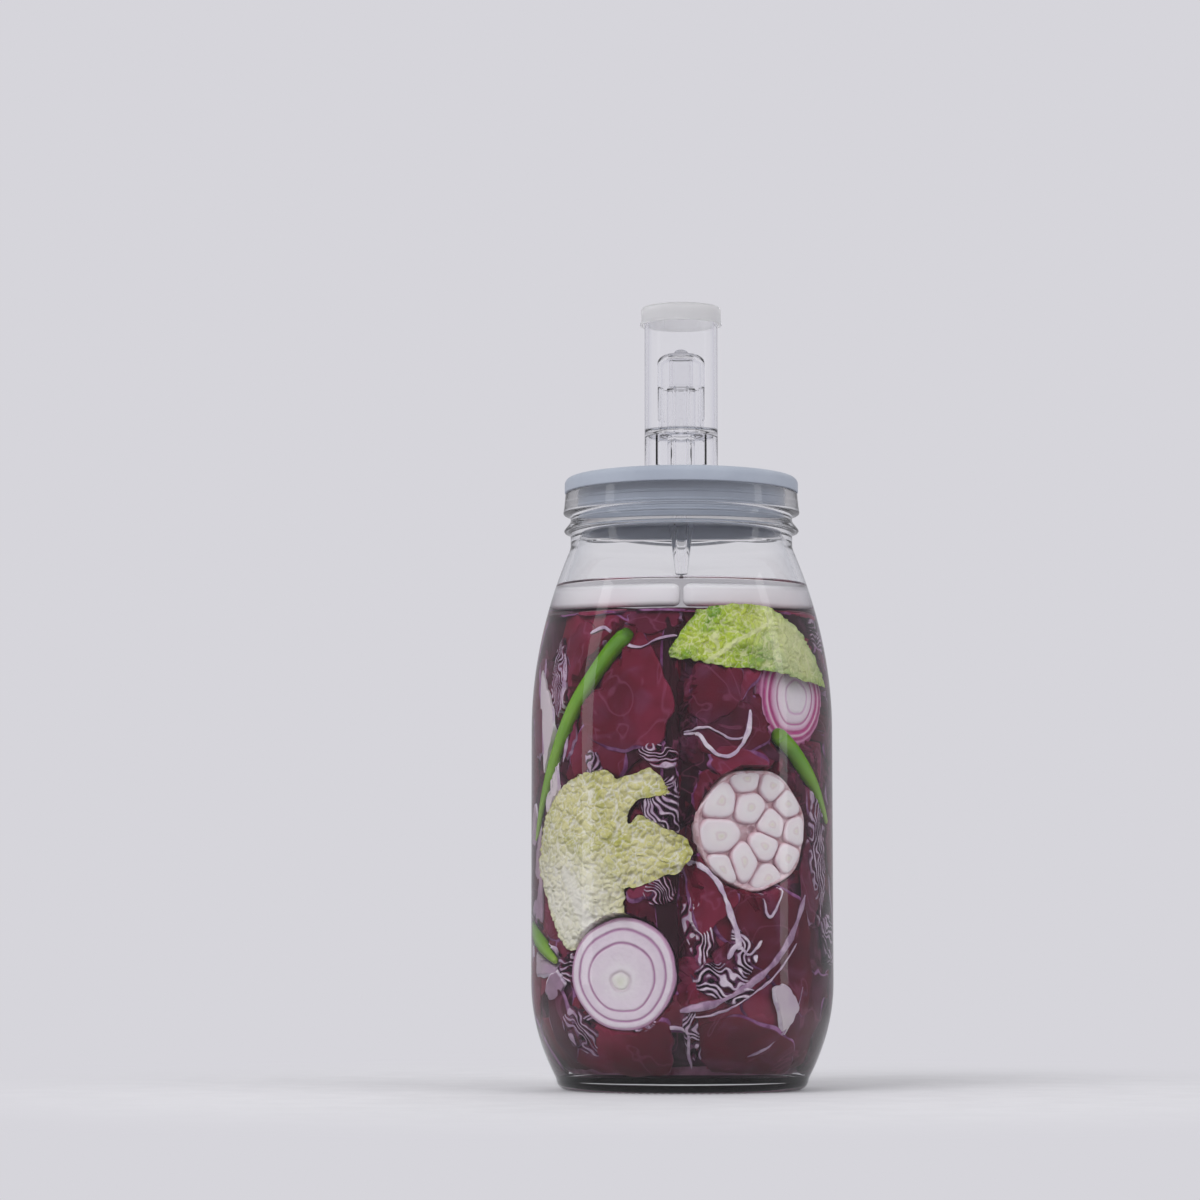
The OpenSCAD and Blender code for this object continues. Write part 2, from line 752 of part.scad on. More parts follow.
glass_jar();
silicone_lid();
airlock_body();
airlock_float();
airlock_cap();
stone_left();
stone_right();
cabbage_low_left();
cabbage_low_right();
cabbage_mid_left();
cabbage_mid_right();
cabbage_top_left();
cabbage_top_right();
cabbage_back_low();
cabbage_back_high();
savoy_leaf_top();
savoy_leaf_mid();
onion_half_low();
onion_half_high();
garlic_half();
chilli_long();
chilli_right();
chilli_low();
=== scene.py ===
import math
import random

import bpy
import bmesh
import numpy as np
from mathutils import Matrix, Vector, noise

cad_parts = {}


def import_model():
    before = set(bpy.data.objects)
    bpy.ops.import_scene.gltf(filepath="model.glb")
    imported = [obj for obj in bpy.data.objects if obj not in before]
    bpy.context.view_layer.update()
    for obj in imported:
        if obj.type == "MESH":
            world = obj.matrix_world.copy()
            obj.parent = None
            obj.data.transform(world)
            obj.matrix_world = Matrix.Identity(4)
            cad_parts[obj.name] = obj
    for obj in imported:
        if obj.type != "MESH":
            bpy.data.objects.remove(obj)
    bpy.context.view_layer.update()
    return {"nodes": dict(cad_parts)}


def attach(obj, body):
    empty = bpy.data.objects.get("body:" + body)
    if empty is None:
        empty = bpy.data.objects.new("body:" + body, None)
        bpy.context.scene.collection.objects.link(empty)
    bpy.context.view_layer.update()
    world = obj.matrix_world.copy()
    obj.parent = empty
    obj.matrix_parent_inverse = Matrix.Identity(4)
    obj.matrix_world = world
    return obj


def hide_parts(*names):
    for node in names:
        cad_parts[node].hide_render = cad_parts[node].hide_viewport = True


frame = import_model()

MM = 0.001

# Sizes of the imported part, in millimetres
BODY_R, NECK_R, WALL, BASE_T, PUSH_UP = 67.45, 49.95, 3.15, 8.0, 4.0
JAR_H, NECK_Z, SHOULDER_Z, SHOULDER_H = 267.0, 242.0, 160.0, 82.0
HEEL_H, HEEL_IN, FOOT_CORNER, FOOT_RING, FLOOR_R = 48.0, 14.0, 5.0, 7.0, 38.0
CAVITY_R, MOUTH_R = BODY_R - WALL, NECK_R - WALL
LID_TOP, LID_R, LID_ROUND = 274.0, 52.65, 3.0
PLUG_BOTTOM, PLUG_R, PLUG_WALL, BOSS_R, BOSS_BOTTOM = 250.0, 46.3, 4.0, 11.5, 262.0
STEM_R, STEM_TIP_Z, STEM_TIP_R, TIP_BORE_R, GAS_BORE_R = 6.45, 230.0, 2.8, 1.5, 2.9
TUBE_R, TUBE_IN_R, TUBE_TOP, CHAMBER_FLOOR, INNER_TUBE_TOP = 16.5, 15.1, 350.0, 295.0, 315.0
FLOAT_R, FLOAT_WALL, FLOAT_TOP, FLOAT_STEP_Z = 10.65, 1.2, 332.8, 315.0
CAP_R, CAP_LOW, CAP_TOP = 18.55, 343.8, 352.0
PACK_H, STONE_T, STONE_R, STONE_SPLIT, STONE_ROUND = 210.5, 10.2, 45.0, 1.2, 2.8
BRINE_Z = 223.0
GAP = 0.3


def outer_r(z):
    """Outside radius of the glass at height z."""
    if z < HEEL_H:
        return BODY_R - HEEL_IN * ((HEEL_H - z) / HEEL_H) ** 2
    if z < SHOULDER_Z:
        return BODY_R
    if z < NECK_Z:
        return BODY_R - (BODY_R - NECK_R) * ((z - SHOULDER_Z) / SHOULDER_H) ** 2
    return NECK_R


def inner_r(z):
    """Inside radius of the glass at height z."""
    if z < HEEL_H:
        drop = (HEEL_H - z) / (HEEL_H - BASE_T)
        return FLOOR_R + (CAVITY_R - FLOOR_R) * math.sqrt(max(0, 1 - drop * drop))
    return outer_r(z) - WALL


def evenly(a, b, count, first=0):
    """Values from a to b in equal steps, from the one numbered first."""
    return [a + (b - a) * i / count for i in range(first, count + 1)]


def arc(x, z, r, a, b, count=8, tall=None):
    """Points about (x, z) from angle a to b in degrees, on a circle or an ellipse as high as tall."""
    angles = [math.radians(t) for t in evenly(a, b, count)]
    return [(x + r * math.cos(t), z + (tall or r) * math.sin(t)) for t in angles]


def smooth(a, b, x):
    """0 below a, 1 above b, with a smooth rise between."""
    t = min(1.0, max(0.0, (x - a) / (b - a)))
    return t * t * (3 - 2 * t)


def ripple(x, y, seed, scale):
    """Smooth noise, about -1 to 1, over a plane."""
    return noise.noise(Vector((x / scale, y / scale, seed)))


def turned(x, y, angle):
    """The place (x, y) turned about the origin by an angle in radians."""
    c, s = math.cos(angle), math.sin(angle)
    return x * c - y * s, x * s + y * c


def rgb(r, g, b):
    """A colour written in sRGB, 0 to 255, as the shader's linear colour."""
    def line(v):
        v /= 255
        return v / 12.92 if v <= 0.04045 else ((v + 0.055) / 1.055) ** 2.4
    return (line(r), line(g), line(b), 1.0)


class Nodes:
    """A short way to write the nodes of a material or of the world."""

    def __init__(self, name, world=False):
        self.owner = (bpy.data.worlds if world else bpy.data.materials).new(name)
        self.owner.use_nodes = True
        self.tree = self.owner.node_tree
        self.tree.nodes.clear()
        self.output = self.add("ShaderNodeOutputWorld" if world else "ShaderNodeOutputMaterial")

    def add(self, kind, inputs=None, **settings):
        """A node, with links or values on its inputs."""
        n = self.tree.nodes.new(kind)
        for key, value in settings.items():
            setattr(n, key, value)
        for key, value in (inputs or {}).items():
            if isinstance(value, bpy.types.NodeSocket):
                self.tree.links.new(value, n.inputs[key])
            else:
                n.inputs[key].default_value = value
        return n

    def noise(self, scale, detail=3.0, distortion=0.0):
        place = self.add("ShaderNodeTexCoord").outputs["Object"]
        inputs = {"Vector": place, "Scale": scale, "Detail": detail, "Roughness": 0.55,
                  "Distortion": distortion}
        return self.add("ShaderNodeTexNoise", inputs).outputs["Fac"]

    def math(self, how, a, b=0.0):
        return self.add("ShaderNodeMath", {0: a, 1: b}, operation=how).outputs[0]

    def times(self, a, b):
        return self.math("MULTIPLY", a, b)

    def span(self, value, a, b, c=0.0, d=1.0):
        """The value's way from a to b, as a smooth way from c to d."""
        inputs = {"Value": value, "From Min": a, "From Max": b, "To Min": c, "To Max": d}
        return self.add("ShaderNodeMapRange", inputs, interpolation_type="SMOOTHSTEP").outputs["Result"]

    def mix(self, fac, a, b):
        return self.add("ShaderNodeMix", {0: fac, 6: a, 7: b}, data_type="RGBA").outputs[2]

    def ramp(self, fac, *stops):
        """A colour for each value; a stop is its place, red, green and blue."""
        n = self.add("ShaderNodeValToRGB", {"Fac": fac})
        band = n.color_ramp.elements
        while len(band) < len(stops):
            band.new(0.5)
        for e, (place, *colour) in zip(band, stops):
            e.position = place
            e.color = rgb(*colour)
        return n.outputs["Color"]

    def attribute(self, name):
        return self.add("ShaderNodeAttribute", attribute_name=name).outputs["Fac"]

    def bump(self, height, strength, distance):
        inputs = {"Height": height, "Strength": strength, "Distance": distance}
        return self.add("ShaderNodeBump", inputs).outputs["Normal"]

    def shader(self, kind, **inputs):
        keys = {k.replace("_", " "): v for k, v in inputs.items()}
        return self.add(kind, keys).outputs[0]

    def blend(self, fac, a, b):
        return self.add("ShaderNodeMixShader", {0: fac, 1: a, 2: b}).outputs[0]

    def lit_through(self, shader, tint):
        """The shader, but lamps shine through it."""
        shadow = self.add("ShaderNodeLightPath").outputs["Is Shadow Ray"]
        return self.blend(shadow, shader, self.shader("ShaderNodeBsdfTransparent", Color=tint))

    def finish(self, shader):
        self.tree.links.new(shader, self.output.inputs["Surface"])
        return self.owner

    def solid(self, **inputs):
        return self.finish(self.shader("ShaderNodeBsdfPrincipled", **inputs))


def clear_material(name, ior, face, edge):
    """Glass or clear plastic: a little greyer at grazing angles, as painted shade for the dark edges that
    glass shows.
    """
    n = Nodes(name)
    facing = n.add("ShaderNodeLayerWeight", {"Blend": 0.35}).outputs["Facing"]
    # Painted shade: the colour goes towards the edge colour at grazing angles.
    tint = n.mix(n.span(facing, 0.25, 1.0), face, edge)
    clear = n.shader("ShaderNodeBsdfPrincipled", Base_Color=tint, Roughness=0.0, IOR=ior,
                     Transmission_Weight=1.0)
    return n.finish(n.lit_through(clear, (0.975, 0.98, 0.985, 1)))


def wet_material(name, ior):
    """Where brine wets the glass: the light bends, and nearly nothing mirrors it."""
    n = Nodes(name)
    tint = (0.99, 0.985, 0.99, 1)
    bends = n.shader("ShaderNodeBsdfRefraction", Color=tint, IOR=ior, Roughness=0.0)
    return n.finish(n.lit_through(bends, tint))


def cap_material():
    """Milky polypropylene: lets light through, blurs what is behind it."""
    n = Nodes("milky_cap")
    tint = n.mix(n.span(n.noise(60.0), 0.3, 0.7), rgb(228, 228, 229), rgb(236, 236, 236))
    skin = n.shader("ShaderNodeBsdfPrincipled", Base_Color=tint, Roughness=0.3, IOR=1.49,
                    Transmission_Weight=0.7, Normal=n.bump(n.noise(900.0, 2.0), 0.12, 0.0001))
    glow = n.shader("ShaderNodeBsdfTranslucent", Color=rgb(234, 233, 233))
    return n.finish(n.lit_through(n.blend(0.3, skin, glow), (0.8, 0.8, 0.82, 1)))


def silicone_material():
    """Soft matt silicone, faintly cloudy, with a fine grain."""
    n = Nodes("blue_grey_silicone")
    grain = n.noise(1600.0, 2.0)
    tint = n.mix(n.span(n.noise(35.0, 4.0), 0.3, 0.75), rgb(149, 156, 170), rgb(160, 167, 180))
    return n.solid(Base_Color=tint, Roughness=n.span(grain, 0.2, 0.8, 0.46, 0.6),
                   Specular_IOR_Level=0.4, Sheen_Weight=0.12, Sheen_Roughness=0.5,
                   Normal=n.bump(grain, 0.16, 0.0001))


def ceramic_material():
    """White glazed stoneware with faint specks."""
    n = Nodes("white_glaze")
    tint = n.mix(n.span(n.noise(28.0, 4.0), 0.3, 0.75), rgb(242, 240, 243), rgb(248, 247, 248))
    speck = n.span(n.noise(420.0, 2.0), 0.68, 0.78)
    tint = n.mix(n.times(speck, 0.12), tint, rgb(176, 170, 166))
    return n.solid(Base_Color=tint, Roughness=0.22, Coat_Weight=0.5, Coat_Roughness=0.06,
                   Normal=n.bump(n.noise(140.0), 0.08, 0.0003))


def build(name, verts, faces, materials, slots=None, flat_over=35.0, values=None):
    """A mesh object from points in millimetres, smooth except over sharp edges."""
    mesh = bpy.data.meshes.new(name)
    mesh.from_pydata([(x * MM, y * MM, z * MM) for x, y, z in verts], [], faces)
    for m in materials:
        mesh.materials.append(m)
    if slots:
        mesh.polygons.foreach_set("material_index", slots)
    for key, data in (values or {}).items():
        mesh.attributes.new(key, "FLOAT", "POINT").data.foreach_set("value", data)
    bm = bmesh.new()
    bm.from_mesh(mesh)
    bmesh.ops.recalc_face_normals(bm, faces=bm.faces)
    bm.to_mesh(mesh)
    bm.free()
    mesh.shade_smooth()
    mesh.set_sharp_from_angle(angle=math.radians(flat_over))
    o = bpy.data.objects.new(name, mesh)
    bpy.context.scene.collection.objects.link(o)
    return o


def add_piece(o, body, slot, *nodes):
    """Says which body a piece rides on and hides the CAD nodes that it stands for; slot, its finish, is not
    used.
    """
    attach(o, body)
    if nodes:
        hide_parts(*nodes)


def tube_faces(rows, count, first=0, capped=False):
    """Faces between rows of points, each a closed ring, and over both ends when capped."""
    faces = []
    last = first + (rows - 1) * count
    for a in range(first, last, count):
        for k in range(count):
            j = (k + 1) % count
            faces.append((a + k, a + j, a + count + j, a + count + k))
    if capped:
        faces += [tuple(range(first, first + count)), tuple(range(last, last + count))]
    return faces


def fan_faces(middle, row, count):
    """Faces from one point to a closed ring that starts at row."""
    return [(middle, row + k, row + (k + 1) % count) for k in range(count)]


def lens_faces(rings, count):
    """Faces through rings of points, of which the first and the last are single points."""
    last = 1 + (rings - 2) * count
    return (fan_faces(0, 1, count) + tube_faces(rings - 2, count, 1)
            + fan_faces(last, last - count, count))


def lathe(outline, turns, closed=False, bend=None):
    """Points and faces of an outline of (r, z) turned about the axis; bend may move a point."""
    verts, rows, faces = [], [], []
    for i, (r, z) in enumerate(outline):
        first = len(verts)
        if r < 1e-6:
            rows.append([first] * turns)
            verts.append((0.0, 0.0, z))
            continue
        rows.append(range(first, first + turns))
        for k in range(turns):
            a = 2 * math.pi * k / turns
            rr, zz = bend(i, a, r, z) if bend else (r, z)
            verts.append((rr * math.sin(a), -rr * math.cos(a), zz))
    for low, high in zip(rows, rows[1:] + rows[:1] if closed else rows[1:]):
        for k in range(turns):
            j = (k + 1) % turns
            face = tuple(dict.fromkeys((low[k], low[j], high[j], high[k])))
            if len(face) > 2:
                faces.append(face)
    return verts, faces


def inside_curve(top, off=0.0, count=64):
    """Inside of the glass from the floor's edge up to height top, drawn in by off."""
    heel = arc(FLOOR_R, HEEL_H, CAVITY_R - off - FLOOR_R, -90, 0, 24, HEEL_H - BASE_T - off)
    return heel + [(inner_r(z) - off, z) for z in evenly(HEEL_H, top, count, 1)]


def glass_jar(material, wet):
    """The jar: push-up under the base, ridged foot ring, shoulder, neck, bead and collar."""
    foot_x = outer_r(FOOT_CORNER) - FOOT_CORNER
    ring_in = foot_x - FOOT_RING
    hollow_r = ring_in - PUSH_UP - 2
    collar_z, bead_top, bead_low = JAR_H - 9.4, JAR_H - 13.4, JAR_H - 17.9
    lip = 1.0
    on_neck = [
        (0, NECK_Z + 0.5), (0, bead_low - 1.4), (0.2, bead_low - 0.7), (0.8, bead_low - 0.2),
        (2.2, bead_low + 0.1), *arc(2.2, bead_low + 0.8, 0.7, -80, 30, 5), (2.0, bead_low + 2.2),
        (0.9, bead_top - 0.9), (0.25, bead_top - 0.1), (0, bead_top + 0.7), (0, collar_z - 1.7),
        (0.3, collar_z - 1.0), (1.2, collar_z - 0.4), (2.6, collar_z - 0.1),
        *arc(2.6, collar_z + 0.6, 0.7, -80, 20, 5), (2.9, collar_z + 3.0),
        *arc(2.4 - lip, JAR_H - lip, lip, 0, 90, 6)]
    outline = [
        (0, PUSH_UP), (hollow_r, PUSH_UP), *arc(hollow_r, PUSH_UP - 2.6, 2.6, 80, 40, 4),
        (ring_in - 0.6, 0.35), (ring_in, 0), (ring_in + 2.5, 0), (foot_x - 2.5, 0),
        *arc(foot_x, FOOT_CORNER, FOOT_CORNER, -90, 0, 10),
        *[(outer_r(z), z) for z in evenly(FOOT_CORNER, HEEL_H, 24, 1)],
        *[(outer_r(z), z) for z in evenly(HEEL_H, NECK_Z - 1.5, 60, 1)],
        *[(NECK_R + x, z) for x, z in on_neck],
        *arc(MOUTH_R + lip, JAR_H - lip, lip, 90, 180, 6), (MOUTH_R, NECK_Z + 1),
        *reversed(inside_curve(NECK_Z - 1.5)), (20, BASE_T), (0, BASE_T)]

    def bend(i, a, r, z):
        """Short radial ridges under the foot."""
        return r, z + 0.35 * (0.5 + 0.5 * math.cos(a * 96)) if z < 0.5 else z

    verts, faces = lathe(outline, 384, bend=bend)

    def wetted(face):
        return all(math.hypot(*verts[k][:2]) < inner_r(verts[k][2]) + 0.05
                   and BASE_T - 0.01 < verts[k][2] < BRINE_Z + 0.9 for k in face)

    slots = [int(wetted(f)) for f in faces]
    return build("glass_jar_clear", verts, faces, [material, wet], slots, flat_over=50)


def brine(material, wet):
    """The brine as one body of liquid, sunk a hair into the glass, with a raised rim."""
    into = -0.12
    edge = inner_r(BRINE_Z)
    outline = [
        (0, BASE_T + into), (FLOOR_R, BASE_T + into), *inside_curve(BRINE_Z + 1.6, into)[1:],
        (edge - 0.5, BRINE_Z + 1.0), (edge - 1.3, BRINE_Z + 0.4), (edge - 2.6, BRINE_Z + 0.1),
        (edge - 4.5, BRINE_Z), (30, BRINE_Z), (0, BRINE_Z)]
    verts, faces = lathe(outline, 256)

    def open_surface(face):
        level = all(verts[k][2] > BRINE_Z - 0.01 and math.hypot(*verts[k][:2]) < edge - 0.2
                    for k in face)
        return level or all(verts[k][2] > BRINE_Z + 0.95 for k in face)

    slots = [0 if open_surface(f) else 1 for f in faces]
    return build("brine", verts, faces, [material, wet], slots, flat_over=70)


def silicone_lid(material):
    """The lid: disc, hollow plug with three ribs, and a boss round the airlock's hole."""
    hole, in_r, seat = STEM_R + 0.06, PLUG_R - PLUG_WALL, JAR_H + 0.02
    outline = [
        (hole, BOSS_BOTTOM + 0.3), (hole + 0.3, BOSS_BOTTOM), (BOSS_R - 0.5, BOSS_BOTTOM),
        (BOSS_R, BOSS_BOTTOM + 0.5), (BOSS_R, JAR_H - 0.6), (BOSS_R + 0.6, JAR_H),
        (in_r - 0.8, JAR_H), (in_r, JAR_H - 0.8), (in_r, PLUG_BOTTOM + 1),
        *arc(in_r + 1, PLUG_BOTTOM + 1, 1, 180, 270, 4),
        *arc(PLUG_R - 1, PLUG_BOTTOM + 1, 1, -90, 0, 4)]
    for i in (1, 2, 3):
        z = PLUG_BOTTOM + 1 + 4 * i
        outline += [(PLUG_R, z - 1.2), *arc(PLUG_R - 0.35, z, 0.8, -60, 60, 6), (PLUG_R, z + 1.2)]
    outline += [
        (PLUG_R, seat), (LID_R - 0.6, seat), *arc(LID_R - 0.6, seat + 0.6, 0.6, -90, 0, 4),
        *arc(LID_R - LID_ROUND, LID_TOP - LID_ROUND, LID_ROUND, 0, 90, 10), (36, LID_TOP),
        (STEM_R + 11.2, LID_TOP), (hole + 0.4, LID_TOP), (hole, LID_TOP - 0.4)]
    return build("silicone_lid_soft", *lathe(outline, 256, closed=True), [material])


def notch(a, count, half_width, r):
    """True where angle a falls in one of count evenly spaced notches at radius r."""
    step = 2 * math.pi / count
    near = (a + step / 2) % step - step / 2
    return abs(near) * r < half_width


def airlock_body(material):
    """Tube, chamber floor, inner tube, foot and tapered stem, with four webs under the floor."""
    under, foot_r = CHAMBER_FLOOR - 1.8, TUBE_R - 3
    outline = [
        (TIP_BORE_R, STEM_TIP_Z + 0.3), (GAS_BORE_R, BOSS_BOTTOM),
        (GAS_BORE_R, INNER_TUBE_TOP - 0.4), (GAS_BORE_R + 0.4, INNER_TUBE_TOP),
        (STEM_R - 0.4, INNER_TUBE_TOP), (STEM_R, INNER_TUBE_TOP - 0.4),
        *arc(STEM_R + 0.8, CHAMBER_FLOOR + 0.8, 0.8, 180, 270, 4),
        *arc(TUBE_IN_R - 1.6, CHAMBER_FLOOR + 1.6, 1.6, -90, 0, 6), (TUBE_IN_R, TUBE_TOP - 1.4),
        (TUBE_IN_R, TUBE_TOP - 0.25), (TUBE_IN_R + 0.25, TUBE_TOP), (TUBE_R - 0.25, TUBE_TOP),
        (TUBE_R, TUBE_TOP - 0.25), (TUBE_R, TUBE_TOP - 1.4), (TUBE_R, CHAMBER_FLOOR),
        (TUBE_R, LID_TOP + 0.3), (TUBE_R - 0.3, LID_TOP), (foot_r + 0.3, LID_TOP),
        (foot_r, LID_TOP + 0.3), (foot_r, LID_TOP + 2), (TUBE_IN_R, LID_TOP + 3.6),
        *arc(TUBE_IN_R - 0.8, under - 0.8, 0.8, 0, 90, 4),
        *arc(STEM_R + 0.8, under - 0.8, 0.8, 90, 180, 4), (STEM_R, LID_TOP), (STEM_R, BOSS_BOTTOM),
        *arc(STEM_TIP_R - 0.7, STEM_TIP_Z + 0.7, 0.7, 0, -90, 5)]

    def bend(i, a, r, z):
        """Vent notches in the tube's top."""
        return r, z - 0.8 if z > TUBE_TOP - 0.3 and notch(a, 4, 1.5, TUBE_R) else z

    verts, faces = lathe(outline, 192, closed=True, bend=bend)
    box = ((0, 1, 3, 2), (4, 6, 7, 5), (0, 4, 5, 1), (2, 3, 7, 6), (0, 2, 6, 4), (1, 5, 7, 3))
    for i in range(4):
        turn = math.radians(45 + 90 * i)
        start = len(verts)
        for x in (STEM_R - 0.05, TUBE_IN_R + 0.05):
            for y in (-0.6, 0.6):
                verts += [(*turned(x, y, turn), z) for z in (LID_TOP + 5, under + 0.05)]
        faces += [tuple(start + k for k in f) for f in box]
    return build("airlock_body_clear", verts, faces, [material])


def airlock_float(material):
    """The float: knob, dome, inner collar, and a skirt with ten ribs and four bubble slots."""
    skirt_r, base = FLOAT_R - 0.4, CHAMBER_FLOOR
    in_r, collar_in, collar_out = skirt_r - FLOAT_WALL, 4.2, 5.4
    knob_r, knob_h, dome_h = 3.2, 1.9, 4.2
    dome_z = FLOAT_TOP - knob_h
    wall_top, roof = dome_z - dome_h, dome_z - FLOAT_WALL
    outline = [
        (in_r, base), (skirt_r, base), (skirt_r, base + 5.2), (skirt_r, base + 5.6),
        (skirt_r, FLOAT_STEP_Z - 0.2), (FLOAT_R - 0.12, FLOAT_STEP_Z), (FLOAT_R, FLOAT_STEP_Z + 0.15),
        *arc(knob_r, wall_top, FLOAT_R - knob_r, 0, 90, 12, dome_h)[:-1], (knob_r + 0.25, dome_z),
        *arc(0, dome_z, knob_r, 0, 90, 8, knob_h)[1:-1], (0, FLOAT_TOP), (0, roof),
        (collar_in, roof), (collar_in, INNER_TUBE_TOP + 1), (collar_out, INNER_TUBE_TOP + 1),
        (collar_out, roof - 1.2),
        *arc(collar_out, wall_top - FLOAT_WALL, in_r - collar_out, 90, 0, 12, dome_h - 1.2)[1:]]

    def bend(i, a, r, z):
        """Bubble slots in the skirt's edge, and ribs up the skirt."""
        if z < base + 0.1 and notch(a, 4, 1.0, FLOAT_R):
            return r, z + 5
        if r == skirt_r and z > base + 5.5 and notch(a + math.pi / 10, 10, 0.55, FLOAT_R):
            return r + 0.32, z
        return r, z

    return build("airlock_float_clear", *lathe(outline, 180, closed=True, bend=bend), [material])


def airlock_cap(material):
    """The cap: rounded top, flared lower edge, six inner ribs."""
    upper, wall, low = CAP_R - 0.5, 1.2, CAP_LOW
    in_r, flare_in = upper - wall, CAP_R - wall
    outline = [
        (0, TUBE_TOP), (in_r - 0.5, TUBE_TOP), (in_r, TUBE_TOP - 0.5), (in_r, low + 1.7),
        (in_r, low + 1.5), (flare_in, low + 0.2), (flare_in + 0.2, low), (CAP_R - 0.2, low),
        (CAP_R, low + 0.2), (CAP_R - 0.1, low + 0.8), (upper + 0.08, low + 1.4), (upper, low + 1.8),
        *arc(upper - 1.6, CAP_TOP - 1.6, 1.6, 0, 90, 8), (9, CAP_TOP), (0, CAP_TOP)]

    def bend(i, a, r, z):
        """Inner ribs that reach the tube."""
        if r == in_r and z > low + 1.6 and notch(a + math.pi / 6, 6, 0.5, TUBE_R):
            return TUBE_R + 0.06, z
        return r, z

    return build("airlock_cap_milky", *lathe(outline, 240, bend=bend), [material])


def half_stone(name, side, material):
    """A half-moon weight with rounded edges, built as rings drawn in from its outline."""
    x0, e, corner = STONE_SPLIT / 2, STONE_ROUND, 3.2
    reach = math.degrees(math.asin((x0 + corner) / (STONE_R - corner)))
    far = math.sqrt((STONE_R - corner) ** 2 - (x0 + corner) ** 2)
    around = [
        *arc(0, 0, STONE_R, reach - 90, 90 - reach, 96),
        *arc(x0 + corner, far, corner, 90 - reach, 180, 8)[1:-1],
        *[(x0, y) for y in evenly(far, -far, 24)],
        *arc(x0 + corner, -far, corner, 180, 270 + reach, 8)[1:-1]]
    inner = (0.02, 0.3, 0.6, 0.82)
    rows = [(share, e, PACK_H) for share in inner]
    for x, z in arc(0, 0, 1, -90, 90, 16):
        rows.append((1, e * (1 - x), PACK_H + e * (1 + z) + (STONE_T - 2 * e if z > 0 else 0)))
    rows += [(share, e, PACK_H + STONE_T) for share in reversed(inner)]
    centre, count = Vector((STONE_R * 0.45, 0)), len(around)
    verts = []
    for share, off, z in rows:
        for k, p in enumerate(around):
            along = (Vector(around[(k + 1) % count]) - Vector(around[k - 1])).normalized()
            q = centre + (Vector(p) - Vector((along.y, -along.x)) * off - centre) * share
            verts.append((side * q.x, q.y, z))
    return build(name, verts, tube_faces(len(rows), count, capped=True), [material], flat_over=60)


# Cut bulbs: degrees from the front, height, radius, how far set back, depth of the dome behind
BULBS = {"onion_half_low": (-25, 52, 24.5, 0, 20.6), "onion_half_high": (56, 172.5, 23.0, 6, 19.3),
         "garlic_half": (31, 114, 27.0, 0, 22.7)}
# Chillies: degrees and share of the way down at each point, height of the top, length down
CHILLIES = {
    "chilli_long": ([(-23, 0), (-30, 0.08), (-38, 0.2), (-47, 0.34), (-55, 0.49), (-63, 0.65),
                     (-70, 0.81), (-77, 1)], 200.5, 90),
    "chilli_right": ([(41, 0), (50, 0.18), (58, 0.4), (66, 0.63), (76, 1)], 156, 38),
    "chilli_low": ([(-88, 0), (-78, 0.33), (-68, 0.67), (-58, 1)], 72, 15)}
# Savoy leaves: lowest point, height, seed, pale part (u, z, reach), rib (u, z, width), outline
SAVOYS = {
    "savoy_leaf_top": (178, 34.5, 3.0, (62, 196, 34), [(8, 184, 1.6), (26, 196, 1.4), (44, 204, 1.0)], [
        (-5, 0.41), (5, 0.84), (10, 0.93), (19, 0.99), (38, 1), (49, 0.87), (58, 0.7), (72, 0.26),
        (75, 0), (47, 0.12), (31, 0.17), (17, 0.2), (6, 0.26), (-4, 0.29)]),
    "savoy_leaf_mid": (62, 78, 8.0, (-56, 74, 46), [(-58, 96, 4.0), (-50, 82, 4.5), (-40, 66, 5.0)], [
        (-57, 0.88), (-47, 0.96), (-32, 1), (-25, 0.95), (-13, 1), (-8, 0.95), (-5, 0.87), (-18, 0.82),
        (-22, 0.7), (-16, 0.74), (-8, 0.68), (0, 0.63), (4, 0.55), (0, 0.44), (-8, 0.4), (-17, 0.35),
        (-23, 0.33), (-24, 0.18), (-35, 0.12), (-47, 0), (-57, 0.1), (-69, 0.37), (-74, 0.49),
        (-67, 0.72)])}
# The map of what is taken: its half width along the glass, its lowest and highest place
MAP_U, MAP_LOW, MAP_HIGH = 203.0, 6.0, 214.0
# Where the CAD's layers of red cabbage part
LEFT_LAYERS, RIGHT_LAYERS, BACK_FROM, BACK_SPLIT = (66, 136.5), (80, 148.5), 12, 112


def wall_point(turn, z, depth):
    """A point at that depth under the glass's inside, measured square to it."""
    slope = inner_r(z + 0.5) - inner_r(max(BASE_T + 0.05, z - 0.5))
    unit = math.sqrt(1 + slope * slope)
    out = inner_r(z) - depth / unit
    a = math.radians(turn)
    return (out * math.sin(a), -out * math.cos(a), z + depth * slope / unit)


def turn_of(u):
    """Degrees round the jar for u millimetres along the glass."""
    return math.degrees(u / CAVITY_R)


def chilli_radius(s):
    """Radius of a chilli at share s of its length."""
    r = min(4.0, 1.5 + (1 - s) * 5.6) if s > 0.05 else 2.6 + 26 * s
    return r if s < 0.985 else r * 0.6


def face_out(z, r):
    """How far from the axis a round cut face of radius r at height z can lie."""
    angles = [math.radians(15 * k) for k in range(-6, 7)]
    return min(math.sqrt((inner_r(z + r * math.sin(a)) - 2 * GAP) ** 2 - (r * math.cos(a)) ** 2)
               for a in angles)


def savoy_loop(node):
    """A leaf's outline in millimetres along the glass and up."""
    low, height, *_, outline = SAVOYS[node]
    return [(math.radians(t) * CAVITY_R, low + height * s) for t, s in outline]


